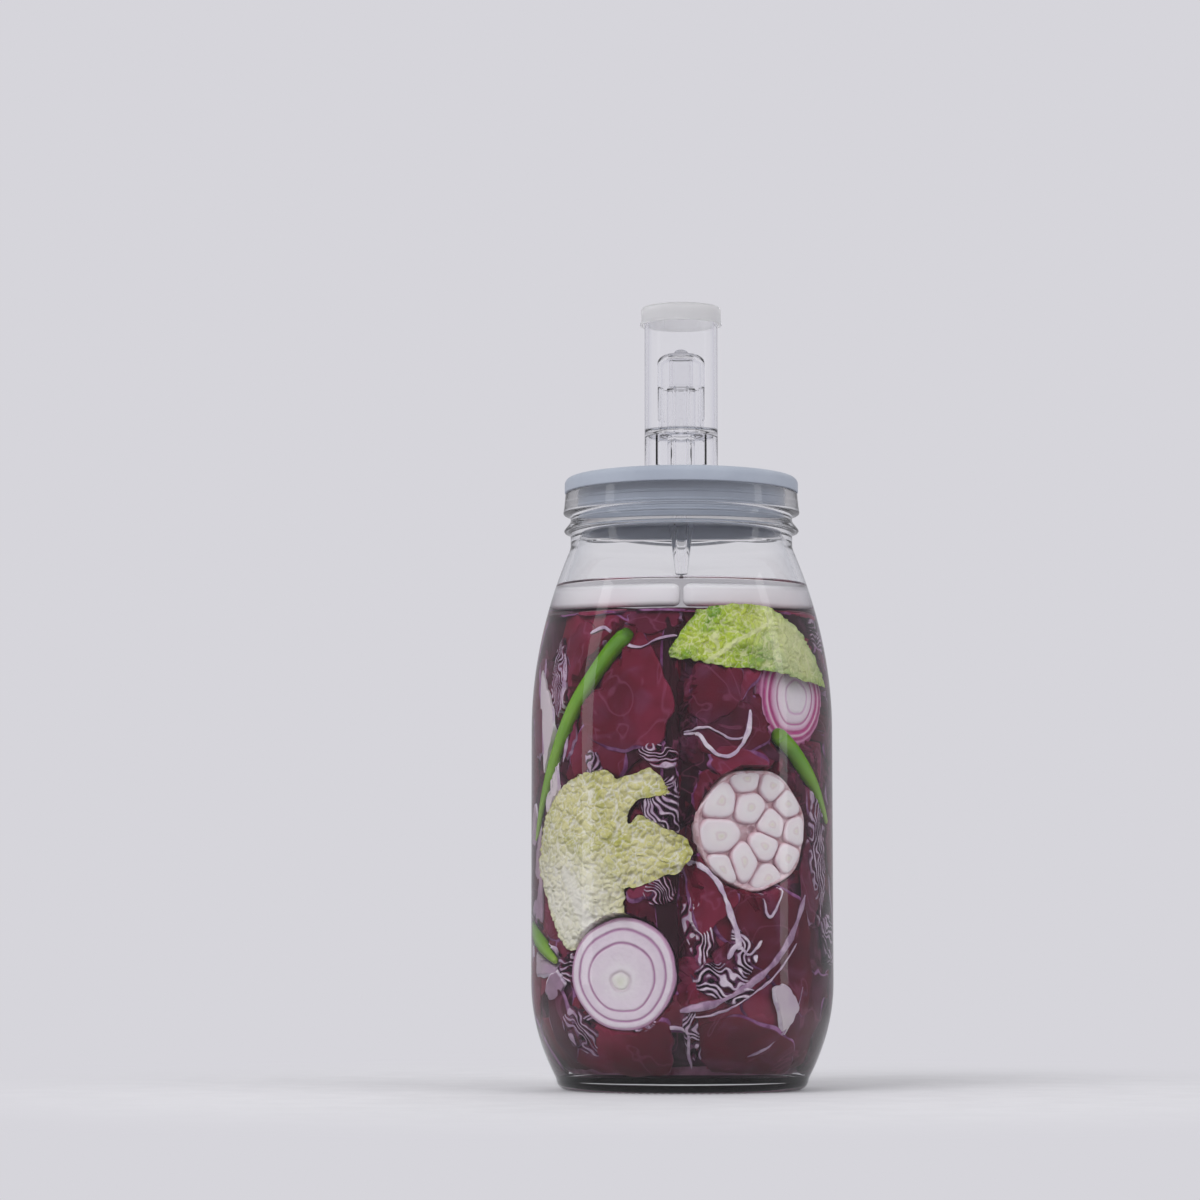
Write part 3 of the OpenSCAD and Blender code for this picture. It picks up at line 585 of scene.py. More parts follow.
def room_map():
    """How deep each place on the glass is taken: by what lies right on it, and by all."""
    us, zs = np.arange(-MAP_U, MAP_U + 1), np.arange(MAP_LOW, MAP_HIGH + 1)
    u, z = np.meshgrid(us, zs)
    wall = np.array([inner_r(v) for v in zs])[:, None]
    deep, near = np.zeros_like(u), np.zeros_like(u)
    for turn, z0, r, back, dome in BULBS.values():
        a = u / CAVITY_R - math.radians(turn)
        out = face_out(z0, r) - back
        away = np.hypot(wall * np.sin(a), z - z0) / (r + 0.9)
        face = wall - out / np.maximum(np.cos(a), 0.2)
        d = face + dome * np.sqrt(np.maximum(0, 1 - away ** 2)) + 0.8
        d = np.where((away < 1) & (np.cos(a) > 0.3), d, 0)
        deep = np.maximum(deep, d)
        near = np.maximum(near, 0 if back else d)
    for route, top, height in CHILLIES.values():
        path = curve_through(route, 12)
        for i, (turn, share) in enumerate(path):
            r = chilli_radius(i / (len(path) - 1)) + 0.7
            away = np.hypot(u - math.radians(turn) * CAVITY_R, z - (top - height * share))
            d = r + GAP + np.sqrt(np.maximum(0, r * r - away ** 2))
            d = np.where(away < r, d, 0)
            deep, near = np.maximum(deep, d), np.maximum(near, d)
    both, savoy_depth, seam_depth, seam_low, seam_high = deep.copy(), 4.3, 5.5, 38, 206
    for node in SAVOYS:
        both = np.where(inside_loop(savoy_loop(node), u, z), np.maximum(both, savoy_depth), both)
    ragged = np.array([ripple(v, 0, 1.5, 12) for v in zs])[:, None]
    seam = np.abs(u - 1.5 - 2.5 * ragged) < 3.2 + 3 * ragged
    both = np.where(seam & (z > seam_low) & (z < seam_high), np.maximum(both, seam_depth), both)
    return near, both


def inside_loop(loop, u, z):
    """True at places inside a closed loop of points."""
    inside = np.zeros(u.shape, bool)
    for (u0, z0), (u1, z1) in zip(loop, loop[1:] + loop[:1]):
        if z0 != z1:
            cross = (z < z0) != (z < z1)
            inside ^= cross & (u < u0 + (z - z0) * (u1 - u0) / (z1 - z0))
    return inside


def taken(grid, u, z):
    """How deep the place is taken, read between the points of the map."""
    u = (u + math.pi * CAVITY_R) % (2 * math.pi * CAVITY_R) - math.pi * CAVITY_R
    x = min(2 * MAP_U - 0.1, max(0, u + MAP_U))
    y = min(MAP_HIGH - MAP_LOW - 0.1, max(0, z - MAP_LOW))
    i, j = int(x), int(y)
    fx, fy = x - i, y - j
    return ((grid[j, i] * (1 - fx) + grid[j, i + 1] * fx) * (1 - fy)
            + (grid[j + 1, i] * (1 - fx) + grid[j + 1, i + 1] * fx) * fy)


class Pack:
    """Points and faces of many leaves that become one piece."""

    def __init__(self, room=None):
        self.verts, self.faces, self.edge, self.pale, self.tone = [], [], [], [], []
        self.room = room

    def spot(self, u, z, down):
        """The point at that depth, or behind what already takes the place."""
        z = min(PACK_H - 0.6, max(BASE_T + 0.9, z))
        held = taken(self.room, u, z)
        if held > 0.05:
            down = max(down, held + 0.3 + 0.4 * down)
        return wall_point(turn_of(u), z, down)

    def add(self, verts, faces, edge, pale, tone=0.5):
        start = len(self.verts)
        self.verts += verts
        self.faces += [tuple(start + k for k in f) for f in faces]
        self.edge += edge
        self.pale += [pale] * len(verts)
        self.tone += [tone] * len(verts)


def cut_outline(rng, spokes, cuts):
    """A polygon with rounded corners: each angle, its reach and how pale its edge is."""
    count = rng.randint(4, 6)
    sides = [(2 * math.pi * (i + rng.uniform(-0.22, 0.22)) / count, rng.uniform(0.72, 1.0),
              1.0 if rng.random() < cuts else 0.06) for i in range(count)]
    seed, phase = rng.uniform(0, 90), rng.uniform(0, 6.28)
    around = []
    for k in range(spokes):
        a = 2 * math.pi * k / spokes
        total = cut = 0.0
        for b, d, pale_cut in sides:
            c = math.cos(a - b)
            if c > 0.12:
                weight = (c / d) ** 9
                total += weight
                cut += weight * pale_cut
        r = total ** (-1 / 9) * (1 + 0.03 * math.sin(9 * a + phase))
        around.append((a, r * (1 + 0.05 * ripple(a * 9, 0, seed, 2.5)), cut / total))
    return around


def ringed(rings, around):
    """Each ring with each spoke of an outline; the first and the last ring are single points."""
    for i, ring in enumerate(rings):
        for spoke in around if 0 < i < len(rings) - 1 else around[:1]:
            yield ring, spoke


# A leaf on the glass: share of the radius, further out, depth behind the front, a cut's paleness
LEAF_RINGS = [
    (0, 0, 0, 0), (0.3, 0, 0, 0), (0.55, 0, 0, 0), (0.75, 0, 0, 0), (0.9, 0, 0, 0),
    (1, -0.5, -0.05, 0), (1, 0, 0.1, 0.25), (1, 0.25, 0.4, 1), (1, 0.8, 1.0, 1), (1, 1.0, 1.3, 0.2),
    (1, -0.6, 1.9, 0), (0.5, 0, 1.7, 0), (0, 0, 1.7, 0)]
# A leaf on top: share of the radius, drop below the leaf's top, a cut's paleness
TOP_RINGS = [(0, 0, 0), (0.3, 0, 0), (0.6, 0, 0), (0.85, 0.05, 0), (0.97, 0.15, 0), (1, 0.4, 1),
             (1, 0.9, 1), (0.95, 1.3, 0), (0, 1.3, 0)]


def slab(pack, rng, turn, z, w, h, spin, depth, pale=0.0, cuts=0.5, tone=None):
    """A piece of leaf with straight cuts, lying on the glass; cut sides show the pale inside."""
    around = cut_outline(rng, 72, cuts)
    seed = rng.uniform(0, 90)
    lean_u, lean_v = rng.uniform(-0.035, 0.035), rng.uniform(-0.03, 0.03)
    middle = math.radians(turn) * CAVITY_R
    verts, edge = [], []
    for (share, more, back, white), (a, r, cut) in ringed(LEAF_RINGS, around):
        if more > 0:
            more *= 0.3 + 1.3 * cut * (1 + 0.9 * ripple(a * 9, 3, seed, 4))
        u, v = turned((w / 2 * share * r + more) * math.cos(a), (h / 2 * share * r + more) * math.sin(a),
                      math.radians(spin))
        front = depth + lean_u * u + lean_v * v + 1.1 * ripple(u, v, seed, 15)
        front += 0.3 * ripple(u, v, seed + 7, 5)
        verts.append(pack.spot(middle + u, z + v, max(0.35, front) + back))
        edge.append(white * cut)
    pack.add(verts, lens_faces(len(LEAF_RINGS), len(around)), edge, pale,
             rng.random() if tone is None else tone)


def folds(x, y, seed, pitch):
    """Leaves cut across: how pale the place is, and how solid, 0 in the gaps between leaves."""
    warp = 8.0 * ripple(x, y, seed, 10) + 3.2 * ripple(x, y, seed + 3, 4.5)
    across = (x + warp) / (pitch * (1 + 0.35 * ripple(x, y, seed + 12, 12)))
    off = abs(across - math.floor(across) - 0.5)
    leaf = max(0.05, 0.29 + 0.26 * ripple(x, y, seed + 8, 7) + 0.14 * ripple(x, y, seed + 15, 2.5))
    return 1 - smooth(leaf * 0.3, leaf * 0.85, off), 1 - smooth(leaf, leaf + 0.1, off)


def cut_face(pack, rng, turn, z, w, h, spin, pitch, pale, fine=1.0):
    """A wedge cut across: nested folds of leaf, pale inside dark skins, with gaps between that get painted
    shade, as does the hidden back.
    """
    depth, count = 0.6, int(38 * fine)
    around = cut_outline(rng, int(150 * fine), 0.5)
    seed = rng.uniform(0, 90)
    middle = math.radians(turn) * CAVITY_R
    rings = [((i / count) ** 0.8, True) for i in range(count + 1)] + [(1, False), (0, False)]
    verts, edge = [], []
    for (share, front), (a, r, _) in ringed(rings, around):
        x, y = w / 2 * share * r * math.cos(a), h / 2 * share * r * math.sin(a)
        # Painted shade: -1 on the hidden back, and below 0 in the gaps between folds.
        down, shade = depth + 5, -1
        if front:
            white, solid = folds(x, y, seed, pitch)
            down = depth + 0.2 * (1 - white) + 2.2 * (1 - solid) + 1.5 * smooth(0.9, 1.0, share)
            down += 0.9 * abs(ripple(x, y, seed + 5, 12))
            shade = white * (1 - smooth(0.93, 1.0, share)) - (1 - solid)
        u, v = turned(x, y, math.radians(spin))
        verts.append(pack.spot(middle + u, z + v, down))
        edge.append(shade)
    pack.add(verts, lens_faces(len(rings), len(around)), edge, pale, rng.random())


def top_leaf(pack, rng, turn, out, w, h, low):
    """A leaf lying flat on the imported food, in the plane under the stones."""
    around = cut_outline(rng, 48, 0.6)
    seed, spin = rng.uniform(0, 90), rng.uniform(0, 6.28)
    middle_x, middle_y = turned(0, -out, math.radians(turn))
    verts, edge = [], []
    for (share, drop, white), (a, r, cut) in ringed(TOP_RINGS, around):
        x, y = turned(w / 2 * math.cos(a), h / 2 * math.sin(a), spin)
        x, y = middle_x + share * r * x, middle_y + share * r * y
        z = PACK_H - low - drop - 1.1 * abs(ripple(x, y, seed, 14)) - 0.4 * abs(ripple(x, y, seed, 4))
        held = taken(pack.room, math.atan2(x, -y) * CAVITY_R, z)
        keep = min(1.0, (inner_r(z) - 0.8 - 1.3 * held) / max(math.hypot(x, y), 1e-6))
        verts.append((x * keep, y * keep, z))
        edge.append(white * cut)
    pack.add(verts, lens_faces(len(TOP_RINGS), len(around)), edge, 0.0, rng.random())


def curve_through(points, count):
    """Catmull-Rom points through the given ones."""
    out = []
    ends = [points[0]] + list(points) + [points[-1]]
    for i in range(len(points) - 1):
        for k in range(count):
            t = k / count
            out.append(tuple(0.5 * (2 * b + (c - a) * t + (2 * a - 5 * b + 4 * c - d) * t * t
                                    + (3 * b - a - 3 * c + d) * t ** 3)
                             for a, b, c, d in zip(*ends[i:i + 4])))
    return out + [tuple(points[-1])]


# A leaf seen on its cut edge: share of the thickness to one side, depth, paleness
EDGE_FORM = [(0.5, 0.5, 0), (0.38, 0.16, 0.85), (0, 0, 1), (-0.38, 0.16, 0.85), (-0.5, 0.5, 0),
             (-0.5, 1.6, 0), (-0.42, 5, 0), (-0.3, 10, 0), (0.3, 10, 0), (0.42, 5, 0), (0.5, 1.6, 0)]


def ribbon(pack, path, thick, pale):
    """A leaf seen on its cut edge, pale inside its two dark skins: path is (u, z) on the glass."""
    verts, edge = [], []
    last = len(path) - 1
    for i, (u, z) in enumerate(path):
        before, after = path[max(0, i - 1)], path[min(last, i + 1)]
        du, dz = after[0] - before[0], after[1] - before[1]
        size = math.hypot(du, dz) or 1
        taper = min(1, min(i, last - i) / 3 + 0.35)
        wide = max(0.45, thick * taper * (0.95 + 0.9 * ripple(u, z, 2, 9)))
        sink = 0.5 + 1.1 * max(0.0, ripple(u, z, 6, 13) + 0.1)
        for side, down, white in EDGE_FORM:
            shift = side * wide / size
            verts.append(pack.spot(u - dz * shift, z + du * shift, sink + down))
            edge.append(white)
    pack.add(verts, tube_faces(len(path), len(EDGE_FORM), capped=True), edge, pale)


def free_core(material, room):
    """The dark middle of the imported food, lumpy, behind the leaves on the glass."""
    outline = [(0, BASE_T + 0.8), (20, BASE_T + 0.8), (36, BASE_T + 1.0),
               *inside_curve(PACK_H - 7, 6.5, 60)[4:], (48, PACK_H - 5), (36, PACK_H - 4.4),
               (18, PACK_H - 4), (0, PACK_H - 4)]

    def bend(i, a, r, z):
        if r < 37:
            return r, z
        push = 2.0 * ripple(a * 40, z, 3.0, 11) + 0.8 * ripple(a * 40, z, 8.0, 4)
        held = taken(room, a * CAVITY_R, z)
        return min(r - 1.5 + push, inner_r(z) - held - 2.5 if held > 0.05 else BODY_R), z

    return build("cabbage_core", *lathe(outline, 300, bend=bend), [material])


def pack_name(turn, z):
    """The CAD node of red cabbage in which a place on the glass lies."""
    x, y = turned(0, -CAVITY_R, math.radians(turn))
    if y > BACK_FROM:
        return "cabbage_back_low" if z < BACK_SPLIT else "cabbage_back_high"
    side, (low, high) = ("left", LEFT_LAYERS) if x < 0 else ("right", RIGHT_LAYERS)
    return f"cabbage_{'low' if z < low else 'mid' if z < high else 'top'}_{side}"


# Front of the filling. Slabs: turn, height, width, height of the leaf, spin, depth, paleness; a paleness
# below 0 is painted shade, a leaf turned near black for the shadowed gap down the middle
FRONT_SLABS = [
    (-25, 176, 50, 62, 22, 1.5, 0), (-44, 196, 26, 22, -10, 2.6, 0.1), (-36, 146, 34, 34, 40, 2.6, 0),
    (-64, 150, 13, 52, 4, 1.2, 1.75), (-52, 168, 14, 44, 12, 2, 0.25), (-12, 205, 34, 12, 2, 2.4, 0.1),
    (14, 176, 30, 34, -8, 1.5, 0), (20, 156, 40, 26, 8, 2.1, 0), (24, 142, 38, 15, -10, 1.2, 0),
    (12, 128, 18, 26, 12, 2.8, 0), (-16, 94, 16, 20, 4, 1.5, 0), (11, 88, 24, 36, 14, 1.4, 0),
    (36, 70, 56, 40, -24, 1.9, 0), (24, 56, 30, 26, 20, 2.8, 0), (-24, 18, 60, 27, 6, 1.1, 0),
    (30, 20, 64, 25, -6, 1.1, 0), (-58, 30, 22, 34, 18, 1.5, 0.1), (60, 34, 24, 44, -16, 1.5, 0.05),
    (0, 36, 22, 18, 2, 2.6, 0), (-68, 58, 24, 14, -8, 1, 1.6), (-60, 46, 18, 12, 30, 1.6, 1.5),
    (60, 92, 14, 40, 6, 1.8, 0.3), (64, 140, 12, 50, -6, 1.6, 0.15), (45, 40, 11, 18, 34, 0.7, 1.9),
    (-78, 100, 16, 54, 2, 1.4, 1.5), (-76, 168, 14, 50, 8, 1.4, 0.3), (72, 178, 16, 40, 4, 1.4, 0.1),
    # Three slabs of painted shade down the seam between the halves.
    (-4, 170, 9, 70, 2, 3.2, -1), (-4, 108, 10, 64, -3, 3, -1), (-5, 66, 9, 44, 4, 3, -0.9)]
# Single leaves seen on edge: points in millimetres along the glass and up, thickness, paleness
FRONT_EDGES = [
    ([(1, 155), (7, 155), (11, 150), (16, 146), (22, 146), (27, 151), (30, 158), (31, 166)], 2.1, 1.0),
    ([(1, 156), (9, 158), (16, 156), (22, 153), (27, 154)], 1.2, 0.8),
    ([(2, 100), (8, 98), (14, 93), (18, 86), (21, 78), (24, 70), (25, 62)], 2.6, 1.0),
    ([(-1, 36), (14, 39), (28, 46), (42, 56), (54, 70), (62, 86)], 3.6, 0.35),
    ([(4, 33), (16, 35), (30, 42), (44, 52), (56, 65)], 1.3, 0.55),
    ([(-40, 33), (-30, 30), (-18, 29), (-8, 29), (2, 27), (3, 18), (5, 12)], 1.6, 0.6),
    ([(-46, 200), (-38, 202), (-30, 197), (-20, 193), (-10, 197), (-2, 198)], 1.5, 0.6),
    ([(34, 16), (46, 22), (55, 32), (60, 46)], 1.3, 0.4),
    ([(-62, 192), (-60, 180), (-61, 168), (-57, 156), (-59, 144)], 2.6, 0.5),
    ([(37, 86), (44, 91), (50, 96), (46, 84), (40, 76), (37, 84)], 1.4, 0.9),
    ([(20, 58), (24, 64), (30, 60), (36, 66)], 1.8, 0.9)]
# Wedges cut across: turn, height, width, height of the face, spin, spacing, paleness
FRONT_CUTS = [
    (-57, 180, 13, 38, 8, 2.6, 0.6), (-9, 146, 12, 20, 72, 2.2, 0.55), (-8, 118, 20, 34, 6, 3.0, 0.7),
    (-9, 88, 16, 15, 30, 2.2, 0.6), (6, 70, 15, 36, 10, 3.4, 0.95), (15, 48, 20, 30, 72, 3.2, 0.85),
    (66, 104, 17, 56, 6, 3.8, 0.55), (-47, 26, 18, 30, 42, 3.0, 0.4), (-24, 31, 7, 46, 84, 2.4, 0.45),
    (-48, 54, 16, 20, 60, 3.2, 0.7), (24, 62, 14, 22, 20, 3.0, 0.9), (-36, 140, 10, 22, 20, 2.4, 0.4),
    (4, 24, 8, 22, 8, 2.4, 0.5)]
# How pale a leaf at the sides and back may be, each as likely, and the share that is cut across
SIDE_PALES, SIDE_CUTS = (0, 0, 0, 0, 0, 0.2, 0.2, 0.4, 0.5, 1.5), 0.16


def red_cabbage(material, room):
    """All the red cabbage: a deep layer all round, the front's leaves, the sides' and the top's."""
    rng = random.Random(11)
    packs = {n: Pack(room) for n in frame["nodes"] if n.startswith("cabbage_")}

    def pack_at(turn, z):
        return packs[pack_name(turn, z)]

    levels, level_h = 9, 23
    deep_count, deep_spacing = 14, 25.7
    for level in range(levels):
        for k in range(deep_count):
            turn = (k + 0.5 * (level % 2)) * deep_spacing + rng.uniform(-4, 4)
            z = 18 + level * level_h + rng.uniform(-4, 4)
            slab(pack_at(turn, z), rng, turn, z, rng.uniform(36, 48), rng.uniform(32, 44),
                 rng.uniform(-40, 40), rng.uniform(3.4, 4.8), cuts=0.3)
    for turn, z, *form in FRONT_SLABS:
        slab(pack_at(turn, z), rng, turn, z, *form, tone=rng.uniform(0.45, 0.85))
    for points, thick, pale in FRONT_EDGES:
        path = [(u + 0.5 * ripple(u, z, 3, 3), z + 0.5 * ripple(u, z, 6, 3))
                for u, z in curve_through(points, 7)]
        u, z = points[len(points) // 2]
        ribbon(pack_at(turn_of(u), z), path, thick, pale)
    for turn, z, *form in FRONT_CUTS:
        cut_face(pack_at(turn, z), rng, turn, z, *form)
    side_from, side_count, side_spacing = 84, 13, 15.2
    for level in range(levels):
        for k in range(side_count):
            turn = side_from + (k + 0.5 * (level % 2)) * side_spacing + rng.uniform(-3, 3)
            z = 20 + level * level_h + rng.uniform(-5, 5)
            if rng.random() < 1 - SIDE_CUTS:
                slab(pack_at(turn, z), rng, turn, z, rng.uniform(22, 36), rng.uniform(24, 44),
                     rng.uniform(-40, 40), rng.uniform(1.0, 2.6), rng.choice(SIDE_PALES))
            else:
                cut_face(pack_at(turn, z), rng, turn, z, rng.uniform(16, 24), rng.uniform(24, 38),
                         rng.uniform(-90, 90), rng.uniform(2.8, 3.8), rng.uniform(0.4, 0.75), fine=0.75)
    top_circles, per_circle = (54, 44, 28), 10
    for i in range(len(top_circles) * per_circle):
        turn, out = i * 360 / per_circle + rng.uniform(-8, 8), top_circles[i // per_circle]
        top_leaf(pack_at(turn, PACK_H), rng, turn, out, rng.uniform(24, 38), rng.uniform(20, 32),
                 0.3 + 0.25 * (i % 4))
    for name, pack in packs.items():
        o = build(name + "_leaves", pack.verts, pack.faces, [material],
                  values={"edge": pack.edge, "pale": pack.pale, "tone": pack.tone})
        add_piece(o, "jar", "red_cabbage", name)


def cabbage_material():
    """Smooth dark leaf with a bloom; its cut edge is pale inside, with painted shade between folds and on
    slabs whose paleness is below 0.
    """
    n = Nodes("red_cabbage_leaf")
    edge, pale, tone = n.attribute("edge"), n.attribute("pale"), n.attribute("tone")
    slow, quick = n.noise(24.0, 4.0), n.noise(160.0, 4.0, 0.6)
    mood = n.math("ADD", n.times(slow, 0.6), n.times(tone, 0.4))
    face = n.ramp(mood, (0.3, 42, 8, 24), (0.46, 70, 12, 34), (0.6, 104, 18, 42), (0.72, 140, 44, 74))
    bloom = n.span(n.noise(55.0, 3.0, 1.0), 0.45, 0.75)
    face = n.mix(n.times(bloom, 0.26), face, rgb(140, 82, 122))
    branch = n.math("ABSOLUTE", n.math("SUBTRACT", n.noise(26.0, 2.0, 1.6), 0.5))
    face = n.mix(n.span(branch, 0.0, 0.022, 0.3, 0.0), face, rgb(158, 84, 118))
    # Painted shade: a paleness below 0 turns the leaf near black.
    face = n.mix(n.span(pale, -1.0, 0.0, 0.85, 0.0), face, rgb(20, 4, 14))
    grain = n.span(quick, 0.35, 0.65)
    white = n.mix(grain, rgb(202, 180, 206), rgb(240, 230, 240))
    purple = n.mix(grain, rgb(112, 52, 104), rgb(160, 108, 156))
    back = n.mix(n.span(slow, 0.4, 0.6), rgb(206, 186, 206), rgb(228, 218, 222))
    whole = n.mix(n.span(pale, 1.2, 1.9), n.mix(n.times(pale, 0.35), face, purple), back)
    tint = n.mix(n.span(edge, 0.0, 0.9), whole, n.mix(pale, purple, white))
    # Painted shade: an edge below 0 turns the leaf near black.
    tint = n.mix(n.span(edge, -1.0, -0.1, 0.85, 0.0), tint, rgb(30, 8, 24))
    return n.solid(Base_Color=tint, Roughness=0.48, Specular_IOR_Level=0.2,
                   Normal=n.bump(slow, 0.3, 0.001))


def core_material():
    """Leaves in shadow, paler where they lie on the jar's floor."""
    n = Nodes("packed_shadow")
    tint = n.ramp(n.noise(30.0, 4.0), (0.3, 26, 8, 22), (0.55, 54, 14, 38), (0.75, 90, 26, 58))
    low = n.ramp(n.noise(50.0, 4.0, 1.0), (0.35, 110, 40, 70), (0.6, 176, 120, 150))
    place = n.add("ShaderNodeNewGeometry").outputs["Position"]
    height = n.add("ShaderNodeSeparateXYZ", {0: place}).outputs["Z"]
    return n.solid(Base_Color=n.mix(n.span(height, 0.0095, 0.02, 1.0, 0.0), tint, low),
                   Roughness=0.5, Normal=n.bump(n.noise(200.0), 0.3, 0.0005))


def chilli(node, material):
    """A chilli along the glass, with a blunt calyx, a short stalk and a long tapered tip."""
    route, top, height = CHILLIES[node]
    path = curve_through(route, 10)
    n, sides = len(path), 20
    radii = [chilli_radius(i / (n - 1)) for i in range(n)]
    points = [Vector(wall_point(t, top - height * s, r + GAP)) for (t, s), r in zip(path, radii)]
    points.insert(0, points[0] + (points[0] - points[3]).normalized() * 0.6)
    radii.insert(0, 1.1)
    verts, along = [], []
    for i, p in enumerate(points):
        ahead = (points[min(i + 1, n)] - points[max(i - 1, 0)]).normalized()
        out = Vector((p.x, p.y, 0)).normalized()
        side = (out - ahead * out.dot(ahead)).normalized()
        across = ahead.cross(side)
        for k in range(sides):
            a = 2 * math.pi * k / sides
            r = radii[i] * (1 + 0.04 * math.sin(2 * a + i * 0.09) + 0.02 * ripple(i, k, 2, 7))
            verts.append(tuple(p + (side * math.cos(a) + across * math.sin(a)) * r))
            along.append(i / n)
    faces = tube_faces(n + 1, sides, capped=True)
    o = build(node + "_pod", verts, faces, [material], values={"along": along})
    add_piece(o, "jar", "green_chilli", node)


def chilli_material():
    """Glossy green skin, yellower towards the tip."""
    n = Nodes("green_chilli_skin")
    skin = n.ramp(n.attribute("along"), (0, 60, 100, 20), (0.05, 84, 142, 18), (0.35, 104, 166, 22),
                  (0.8, 122, 174, 34), (1, 146, 180, 60))
    cloud = n.span(n.noise(70.0, 4.0), 0.35, 0.7)
    return n.solid(Base_Color=n.mix(n.times(cloud, 0.35), skin, rgb(150, 196, 50)), Roughness=0.24,
                   Coat_Weight=0.6, Coat_Roughness=0.08, Normal=n.bump(n.noise(240.0), 0.15, 0.0003))


def bulb_place(node):
    """Where a cut face lies: its own +Z looks at the glass, +Y up."""
    turn, z, r, back, _ = BULBS[node]
    out = face_out(z, r) - back
    return (Matrix.Rotation(math.radians(turn), 4, "Z") @ Matrix.Translation((0, -out * MM, z * MM))
            @ Matrix.Rotation(math.radians(90), 4, "X"))


def onion_half(node, rings, drift, seed, material):
    """A half onion: cut face with grooves between its layers, layered dome behind."""
    r = BULBS[node][2]
    steps, spokes, dome_steps = 72, 160, 24
    groove_depth, groove_width, dome_share = 0.35, 0.45, 0.8
    verts, ring_at = [], []

    def rim(a):
        return 1 - 0.012 * (1 + math.sin(3 * a + seed)) - 0.006 * (1 + math.sin(7 * a))

    def groove(t):
        near = min(abs(t - m) for m in rings + [1.0])
        return -groove_depth * math.exp(-(near * r / groove_width) ** 2)

    for i in range(steps + 1):
        t = i / steps
        for k in range(spokes):
            a = 2 * math.pi * k / spokes
            inner = 1 + 0.05 * (1 - t) * math.sin(2 * a + seed) + 0.03 * (1 - t) * math.sin(5 * a)
            x = r * (t * rim(a) * inner * math.cos(a) + drift[0] * (1 - t))
            y = r * (t * rim(a) * inner * math.sin(a) + drift[1] * (1 - t))
            wavy = 0.25 * ripple(x, y, seed, 9)
            verts.append((x, y, -0.45 + groove(t) + wavy * (1 - t ** 6) - 0.5 * t ** 30))
            ring_at.append(t)
    for up in evenly(0, math.pi / 2, dome_steps, 1):
        for k in range(spokes):
            a = 2 * math.pi * k / spokes
            out = r * rim(a) * (1 - 0.006 * (1 + math.sin(a * 14))) * math.cos(up)
            verts.append((out * math.cos(a), out * math.sin(a), -0.9 - r * dome_share * math.sin(up)))
            ring_at.append(1.0)
    faces = tube_faces(steps + 1 + dome_steps, spokes)
    o = build(node + "_cut", verts, faces, [material], values={"ring": ring_at}, flat_over=80)
    weld(o)
    o.matrix_world = bulb_place(node)
    add_piece(o, "jar", "red_onion", node)


def weld(o):
    """Joins points that fall on one spot, such as the middle of a polar grid."""
    apart = 0.01 * MM
    bm = bmesh.new()
    bm.from_mesh(o.data)
    bmesh.ops.remove_doubles(bm, verts=bm.verts, dist=apart)
    bmesh.ops.dissolve_degenerate(bm, edges=bm.edges, dist=apart / 10)
    bm.to_mesh(o.data)
    bm.free()


def onion_material(name, skin, *stops):
    """Layers by how far out they lie, with purple lines between them and fine radial cells."""
    n = Nodes(name)
    ring = n.attribute("ring")
    wobble = n.times(n.math("SUBTRACT", n.noise(120.0), 0.5), 0.035)
    cells = n.span(n.noise(420.0, 4.0), 0.4, 0.65)
    tint = n.mix(n.times(cells, 0.12), n.ramp(n.math("ADD", ring, wobble), *stops), rgb(206, 184, 206))
    side = n.mix(n.span(n.noise(60.0, 4.0), 0.35, 0.7), skin, rgb(206, 170, 200))
    return n.solid(Base_Color=n.mix(n.times(n.span(ring, 0.985, 1.0), 0.9), tint, side), Roughness=0.32,
                   Coat_Weight=0.3, Coat_Roughness=0.12, Subsurface_Weight=0.12,
                   Subsurface_Radius=(0.003, 0.002, 0.003), Subsurface_Scale=1.0,
                   Normal=n.bump(cells, 0.25, 0.0003))


# Middles of the cloves and of the stem on the cut face, with a clove's share of the room beside it
GARLIC_CLOVES = [(-15.0, 12.5), (-15.0, -3.0), (-14.5, -17.6), (-4.2, -13.6), (5.8, -7.0), (17.2, -12.4),
                 (7.6, -21.0), (9.4, 2.4), (21.5, -0.2), (17.4, 11.6), (9.8, 19.6), (-2.4, 22.4), (-0.6, 9.8)]
GARLIC_STEM = (-1.6, 0.4, 0.8)
GARLIC_R, CLOVE_SPOKES = 25.9, 48


def clove_outline(middle, others):
    """The room round a clove's middle, halfway to each neighbour, as reach in all directions."""
    reach = []
    for a in evenly(0, 2 * math.pi, CLOVE_SPOKES)[:-1]:
        c, s = math.cos(a), math.sin(a)
        along = middle[0] * c + middle[1] * s
        r = -along + math.sqrt(along ** 2 + GARLIC_R ** 2 - middle[0] ** 2 - middle[1] ** 2) - 0.2
        for x, y, share in others:
            dx, dy = x - middle[0], y - middle[1]
            far = math.hypot(dx, dy)
            toward = (c * dx + s * dy) / far
            if toward > 0.05:
                r = min(r, (far * share - 0.28) / toward)
        reach.append(r)
    for _ in range(7):
        after = reach[1:] + reach[:1]
        reach = [(reach[k - 1] + 2 * reach[k] + after[k]) / 4 for k in range(CLOVE_SPOKES)]
    return reach


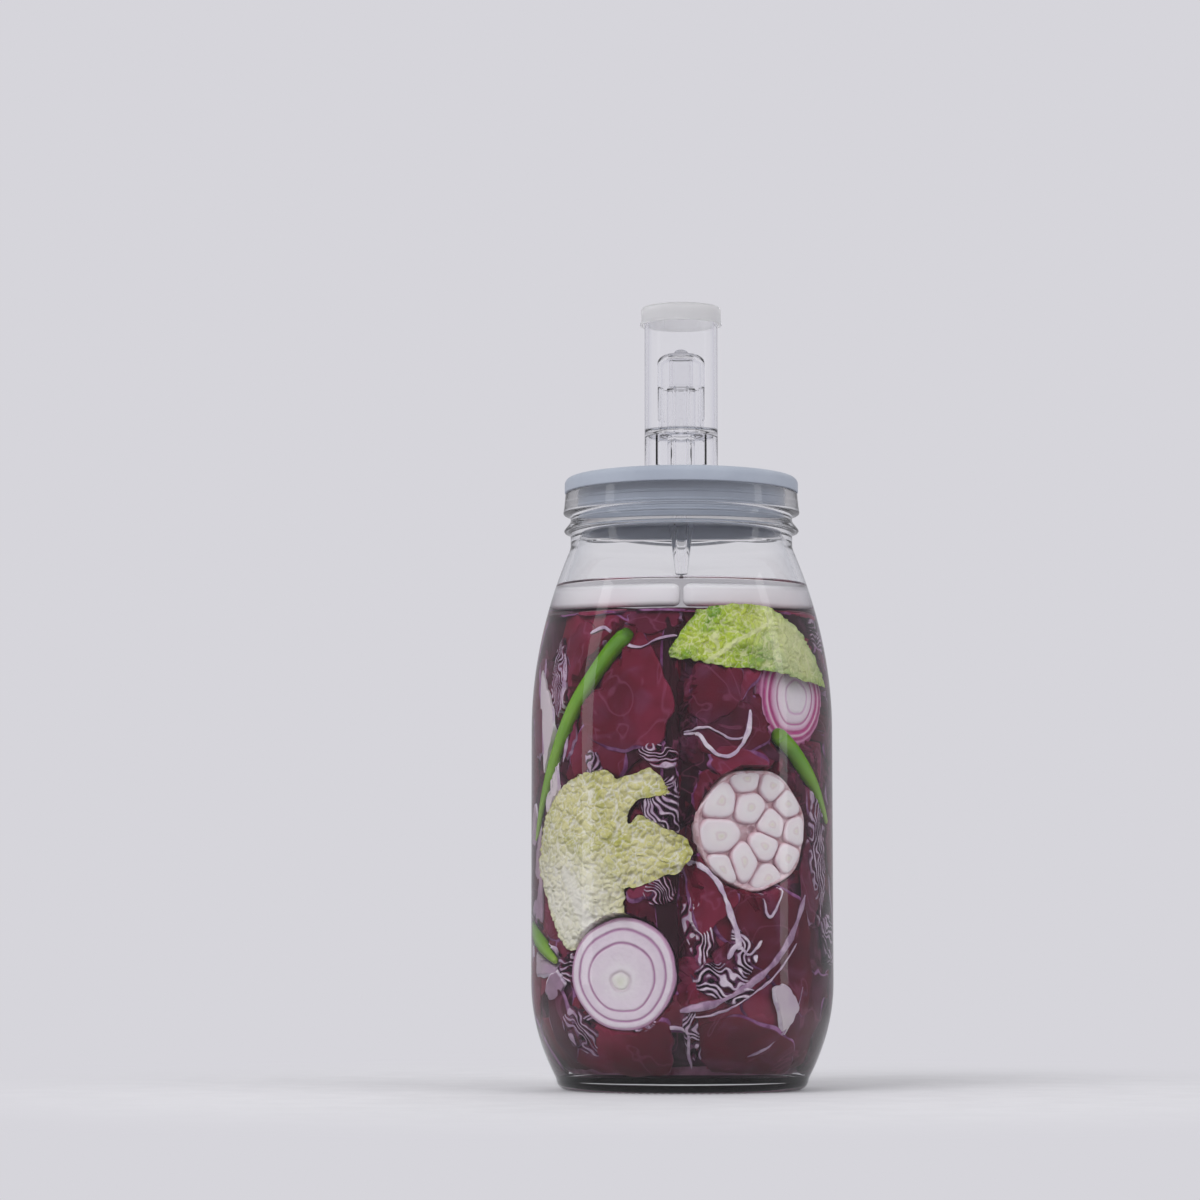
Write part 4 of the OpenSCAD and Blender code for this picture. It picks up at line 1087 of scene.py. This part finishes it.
def clove(pack, middle, reach, lift, seed):
    """One clove on the cut face: its rounded outline, a low dome, walls going down."""
    spokes = len(reach)
    wall = 5.5
    rows = [(t, 0.0) for t in evenly(0, 1, 10, 1)] + [(1.0, wall)]
    verts, edge = [(*middle, lift + 0.4)], [0.0]
    for t, down in rows:
        for k, r in enumerate(reach):
            a = 2 * math.pi * k / spokes
            x, y = middle[0] + t * r * math.cos(a), middle[1] + t * r * math.sin(a)
            top = lift + 0.4 * (1 - t * t) + 0.15 * ripple(x, y, seed, 3) - 1.1 * smooth(0.84, 1.0, t) ** 2
            verts.append((x, y, top - down))
            edge.append(1.25 if down else t)
    bottom = tuple(range(len(verts) - spokes, len(verts)))
    faces = fan_faces(0, 1, spokes) + tube_faces(len(rows), spokes, 1) + [bottom]
    pack.add(verts, faces, edge, 0.0)


def garlic_half(material, skin):
    """Half a bulb: cloves cut across, round a hollow stem, in papery skins."""
    rng = random.Random(5)
    pack = Pack()
    for i, middle in enumerate(GARLIC_CLOVES):
        others = [c + (0.5,) for c in GARLIC_CLOVES if c != middle] + [GARLIC_STEM]
        clove(pack, middle, clove_outline(middle, others), -1.0 + rng.uniform(-0.6, 0.4), i * 3.7)
    cloves = build("garlic_cloves", pack.verts, pack.faces, [material], flat_over=60,
                   values={"edge": pack.edge})

    def bend(i, a, r, z):
        lobes = 1 + 0.02 * math.cos(a * 7) + 0.012 * math.sin(a * 3)
        ragged = 0.5 * ripple(a * 30, i, 4, 2) if 3 <= i <= 6 else 0
        return r * (lobes if r > 12 else 1) - 0.6, z + ragged

    outline = [(0, -5.5), (2.0, -5.0), (2.6, -2.6), (3.2, -2.8), (4.0, -3.4), (23, -3.2), (25.4, -1.5),
               (26.0, -1.0), (26.6, -1.1), (26.9, -2.2), *arc(0, -2.2, 27, 0, -90, 20, 20.2)[1:-1],
               (0, -22.4)]
    shell = build("garlic_skin", *lathe(outline, 180, bend=bend), [skin], flat_over=70)
    cloves.matrix_world = shell.matrix_world = bulb_place("garlic_half")
    add_piece(cloves, "jar", "garlic", "garlic_half")
    add_piece(shell, "jar", "garlic")


def clove_material():
    """Cream flesh round a darker germ, pinkish at the clove's edge."""
    n = Nodes("garlic_clove")
    wobble = n.times(n.math("SUBTRACT", n.noise(260.0), 0.5), 0.2)
    tint = n.ramp(n.math("ADD", n.attribute("edge"), wobble), (0, 236, 230, 214), (0.14, 246, 240, 234),
                  (0.22, 238, 224, 226), (0.32, 250, 245, 244), (0.86, 248, 238, 242), (1, 224, 190, 200))
    return n.solid(Base_Color=tint, Roughness=0.34, Coat_Weight=0.35, Coat_Roughness=0.1,
                   Subsurface_Weight=0.15, Subsurface_Radius=(0.003, 0.002, 0.002),
                   Subsurface_Scale=1.0, Normal=n.bump(n.noise(380.0), 0.18, 0.0003))


def garlic_skin_material():
    """Papery skin with pink veins."""
    n = Nodes("garlic_skin")
    vein = n.noise(130.0, 4.0, 1.5)
    tint = n.ramp(vein, (0.3, 186, 134, 140), (0.5, 220, 188, 194), (0.7, 242, 228, 234))
    return n.solid(Base_Color=tint, Roughness=0.42, Sheen_Weight=0.2, Normal=n.bump(vein, 0.35, 0.0004))


def nearest(loop, places):
    """For each place the nearest point of a closed line, and how far away it is."""
    best, near = np.full(len(places), 1e9), np.zeros_like(places)
    line = np.array(loop)
    for p, q in zip(line, np.roll(line, -1, axis=0)):
        d = q - p
        t = np.clip(((places - p) @ d) / max(d @ d, 1e-9), 0, 1)
        spot = p + t[:, None] * d
        away = np.hypot(*(places - spot).T)
        closer = away < best
        best[closer] = away[closer]
        near[closer] = spot[closer]
    return near, best


def savoy_leaf(node, material, room):
    """A blistered leaf on the glass: raised cells between pale veins, a thick rib, a frilled edge."""
    _, _, seed, faded, rib, _ = SAVOYS[node]
    loop, step = savoy_loop(node), 0.52
    ring = [(u + 1.1 * ripple(u, z, seed, 3.2), z + 1.1 * ripple(u, z, seed + 4, 3.2))
            for u, z in curve_through(loop + loop[:1], 10)[:-1]]
    us, zs = [np.arange(v.min() - step, v.max() + step * 1.5, step) for v in np.array(ring).T]
    grid = np.array([(u, z) for z in zs for u in us])
    inside = inside_loop(ring, *grid.T)
    near, away = nearest(ring, grid)
    wide = len(us)
    corners = [j * wide + i for j in range(len(zs) - 1) for i in range(wide - 1)]
    cells = [(k, k + 1, k + wide + 1, k + wide) for k in corners]
    cells = [c for c in cells if any(inside[k] for k in c)]
    used = {k: i for i, k in enumerate(dict.fromkeys(k for c in cells for k in c))}
    front, back, veins, edge, fade = [], [], [], [], []
    for k in used:
        u, z = grid[k] if inside[k] else near[k]
        vein, lump = blister(u, z, seed)
        main = rib_at(u, z, rib)
        rim = 1 - smooth(0, 3.0, away[k] if inside[k] else 0)
        down = 2.2 + 1.1 * ripple(u, z, seed + 9, 15) + 1.1 * ripple(u, z, seed + 13, 6)
        down -= 1.6 * lump * (1 - 0.6 * main)
        down += 0.9 * rim * ripple(u, z, seed + 20, 2.6) - 0.5 * main
        down = min(3.4, max(0.35, down))
        held = taken(room, u, z)
        down = max(down, held + 0.4) if held > 0.05 else down
        front.append(wall_point(turn_of(u), z, down))
        back.append(wall_point(turn_of(u), z, down + 0.75 + 0.8 * main))
        veins.append(min(1, vein + main))
        edge.append(rim)
        fade.append(1 - smooth(0.2, 1, math.hypot(u - faded[0], z - faded[1]) / faded[2]))
    n = len(used)
    quads = [tuple(used[k] for k in c) for c in cells]
    sides = dict.fromkeys(pair for q in quads for pair in zip(q, q[1:] + q[:1]))
    faces = quads + [tuple(n + k for k in reversed(q)) for q in quads]
    faces += [(x, y, n + y, n + x) for x, y in sides if (y, x) not in sides]
    o = build(node + "_blistered", front + back, faces, [material], flat_over=75,
              values={"vein": veins * 2, "edge": edge * 2, "fade": fade * 2})
    weld(o)
    add_piece(o, "jar", "savoy_green", node)


def blister(u, z, seed):
    """How close a place is to a vein, and how high its cell is raised, both 0 to 1."""
    warp = Vector((u + 3.0 * ripple(u, z, seed, 7) + ripple(u, z, seed + 5, 2.4),
                   z + 3.0 * ripple(u, z, seed + 2, 7) + ripple(u, z, seed + 6, 2.4), seed))
    (near, far, *_), _ = noise.voronoi(warp / 3.6)
    coarse = far - near
    (near, far, *_), _ = noise.voronoi(warp / 1.5)
    fine = far - near
    vein = max(1 - smooth(0.02, 0.16, coarse), 0.45 * (1 - smooth(0.03, 0.3, fine)))
    return vein, 0.55 * smooth(0.0, 0.5, coarse) + 0.45 * smooth(0.0, 0.55, fine)


def rib_at(u, z, rib):
    """1 on the leaf's thick rib, 0 away from it; rib is a list of (u, z, width)."""
    best = 0.0
    for (u0, z0, w0), (u1, z1, w1) in zip(rib, rib[1:]):
        du, dz = u1 - u0, z1 - z0
        t = min(1, max(0, ((u - u0) * du + (z - z0) * dz) / (du * du + dz * dz)))
        away = math.hypot(u - u0 - t * du, z - z0 - t * dz)
        best = max(best, 1 - smooth(0.35, 1.0, away / (w0 + (w1 - w0) * t)))
    return best


def savoy_material(name, blade, deep, pale, white):
    """A wet, creased leaf with pale veins, fading to white at its pale part, with painted highlights on its
    creases and painted shade at its frilled edge.
    """
    n = Nodes(name)
    slow, crease = n.noise(60.0, 4.0, 0.8), n.noise(330.0, 3.0, 1.2)
    tint = n.mix(n.span(slow, 0.36, 0.6), deep, blade)
    tint = n.mix(n.times(n.span(n.noise(26.0, 2.0), 0.45, 0.7), 0.6), tint, pale)
    tint = n.mix(n.times(n.attribute("fade"), 0.75), tint, white)
    # Painted highlight: paler on the raised side of the fine creases, the noise that also bumps them.
    tint = n.mix(n.span(crease, 0.5, 0.68, 0, 0.45), tint, white)
    tint = n.mix(n.span(n.attribute("vein"), 0.3, 1.0, 0, 0.7), tint, white)
    # Painted shade: darker towards the frilled edge, for the shade in its folded lip.
    tint = n.mix(n.times(n.attribute("edge"), 0.3), tint, deep)
    return n.solid(Base_Color=tint, Roughness=0.24, Coat_Weight=0.6, Coat_Roughness=0.08,
                   Normal=n.bump(crease, 0.7, 0.0007))


# The backdrop, how much of it mirrors see, and where the camera and the lamps are, in metres
BACKGROUND = rgb(214, 213, 219)
MIRRORED = 0.62
CAMERA_AT, CAMERA_TILT, CAMERA_TURN, LENS = (0, -1.67, 0.067), 5.2, 1.26, 111.6
LAMPS_AIM = (0, 0, 0.18)


def world():
    """Light from all round; the camera sees the pale backdrop, and mirrors a darker room."""
    n = Nodes("studio", world=True)
    path = n.add("ShaderNodeLightPath").outputs
    light = n.shader("ShaderNodeBackground", Color=(1, 1, 1, 1), Strength=0.58)
    seen = n.shader("ShaderNodeBackground", Color=BACKGROUND, Strength=1.0)
    mirrored = n.shader("ShaderNodeBackground", Color=BACKGROUND, Strength=MIRRORED)
    direct = n.math("MAXIMUM", path["Is Camera Ray"], path["Is Transmission Ray"])
    back = n.blend(path["Is Glossy Ray"], light, mirrored)
    bpy.context.scene.world = n.finish(n.blend(direct, back, seen))


def area(name, place, size, power, glossy=False):
    """A rectangular lamp that looks at the jar's middle."""
    data = bpy.data.lights.new(name, "AREA")
    data.shape = "RECTANGLE"
    data.size, data.size_y = size
    data.energy = power
    o = bpy.data.objects.new(name, data)
    o.location = place
    o.rotation_euler = (Vector(LAMPS_AIM) - Vector(place)).to_track_quat("-Z", "Y").to_euler()
    o.visible_glossy = glossy
    o.visible_transmission = False
    o.visible_camera = False
    bpy.context.scene.collection.objects.link(o)


def lights():
    area("key", (-1.1, -1.3, 1.5), (1.2, 1.2), 25)
    area("fill", (1.5, -0.9, 0.9), (1.2, 1.2), 11)
    area("back", (0.3, 1.6, 1.4), (1.4, 1.0), 9)
    area("strip", (-1.3, -0.35, 0.5), (0.25, 1.1), 1.2, glossy=True)
    area("strip_far", (1.35, -0.2, 0.5), (0.2, 1.1), 0.9, glossy=True)


def floor():
    """A pale floor that fades into the backdrop round the jar."""
    n = Nodes("pale_floor")
    place = n.add("ShaderNodeNewGeometry").outputs["Position"]
    away = n.add("ShaderNodeVectorMath", {0: place}, operation="LENGTH").outputs["Value"]
    grain = n.mix(n.span(n.noise(40.0), 0.3, 0.7), (0.62, 0.615, 0.65, 1), (0.65, 0.645, 0.68, 1))
    lit = n.shader("ShaderNodeBsdfDiffuse", Color=grain)
    mirrored = n.add("ShaderNodeLightPath").outputs["Is Glossy Ray"]
    shown = n.math("SUBTRACT", 1.0, n.times(mirrored, 1 - MIRRORED))
    plain = n.shader("ShaderNodeEmission", Color=BACKGROUND, Strength=shown)
    pale = n.finish(n.blend(n.span(away, 0.14, 0.42), lit, plain))
    sunk, first_ring, growth = -0.05, 40, 1.25
    outline = [(0, sunk)] + [(first_ring * growth ** i, sunk) for i in range(24)]
    verts, faces = lathe(outline, 64)
    build("floor", verts, faces, [pale])


def camera():
    """A long lens a little above the floor, tilted up and turned to the jar."""
    data = bpy.data.cameras.new("camera")
    data.sensor_width = 36
    data.lens = LENS
    data.clip_end = 50
    o = bpy.data.objects.new("camera", data)
    o.location = CAMERA_AT
    o.rotation_euler = (math.radians(90 + CAMERA_TILT), 0, math.radians(CAMERA_TURN))
    bpy.context.scene.collection.objects.link(o)
    bpy.context.scene.camera = o


def vessel():
    """The jar, the brine, the lid, the airlock and the two stones."""
    # The second colour of each clear material is its painted shade at grazing angles.
    glass = clear_material("jar_glass", 1.5, (0.995, 0.995, 0.995, 1), (0.58, 0.61, 0.67, 1))
    plastic = clear_material("clear_plastic", 1.24, (0.99, 0.99, 0.995, 1), (0.6, 0.61, 0.72, 1))
    liquid = clear_material("brine_liquid", 1.333, (0.99, 0.985, 0.99, 1), (0.84, 0.8, 0.9, 1))
    ceramic = ceramic_material()
    add_piece(glass_jar(glass, wet_material("wet_glass", 1.5)), "jar", "glass", "glass_jar")
    add_piece(brine(liquid, wet_material("wet_brine", 1.333)), "jar", "glass")
    add_piece(silicone_lid(silicone_material()), "lid", "lid_silicone", "silicone_lid")
    add_piece(airlock_body(plastic), "airlock", "airlock_clear", "airlock_body")
    add_piece(airlock_float(plastic), "bell", "airlock_clear", "airlock_float")
    add_piece(airlock_cap(cap_material()), "cap", "airlock_frosted", "airlock_cap")
    for hand, side in (("left", -1), ("right", 1)):
        stone = half_stone(f"stone_{hand}_glazed", side, ceramic)
        add_piece(stone, "weight_" + hand, "white_ceramic", "stone_" + hand)


def filling():
    """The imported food, each piece against the glass in its own room."""
    glass_room, room = room_map()
    red_cabbage(cabbage_material(), room)
    add_piece(free_core(core_material(), room), "jar", "red_cabbage")
    skin = chilli_material()
    for node in CHILLIES:
        chilli(node, skin)
    pale_onion = onion_material(
        "onion_pale", rgb(150, 84, 132), (0, 228, 230, 212), (0.12, 240, 240, 232),
        (0.18, 214, 202, 208), (0.23, 240, 234, 238), (0.4, 236, 226, 234), (0.58, 236, 224, 234),
        (0.615, 164, 100, 150), (0.65, 238, 226, 236), (0.78, 232, 218, 230), (0.82, 168, 106, 156),
        (0.86, 240, 230, 238), (0.94, 236, 224, 234), (0.965, 200, 158, 188), (1, 176, 126, 162))
    onion_half("onion_half_low", [0.16, 0.61, 0.82, 0.965], (-0.05, -0.16), 2.0, pale_onion)
    magenta_onion = onion_material(
        "onion_magenta", rgb(130, 26, 84), (0, 240, 234, 240), (0.28, 242, 236, 240),
        (0.31, 214, 170, 206), (0.35, 240, 228, 236), (0.48, 236, 216, 230), (0.515, 178, 70, 140),
        (0.55, 236, 212, 228), (0.62, 226, 170, 206), (0.665, 176, 30, 118), (0.71, 196, 70, 146),
        (0.74, 236, 206, 222), (0.79, 196, 70, 146), (0.83, 158, 20, 104), (0.88, 216, 146, 190),
        (0.93, 160, 30, 108), (1, 126, 22, 80))
    onion_half("onion_half_high", [0.3, 0.5, 0.66, 0.81, 0.93], (0.24, 0.0), 5.0, magenta_onion)
    garlic_half(clove_material(), garlic_skin_material())
    lime = savoy_material("savoy_lime", rgb(168, 198, 36), rgb(92, 150, 16), rgb(212, 222, 84),
                          rgb(230, 234, 178))
    savoy_leaf("savoy_leaf_top", lime, glass_room)
    pale = savoy_material("savoy_pale", rgb(222, 218, 152), rgb(194, 194, 88), rgb(232, 228, 192),
                          rgb(244, 243, 232))
    savoy_leaf("savoy_leaf_mid", pale, glass_room)


camera()
world()
lights()
floor()
bpy.context.scene.view_settings.view_transform = "Standard"
vessel()
filling()
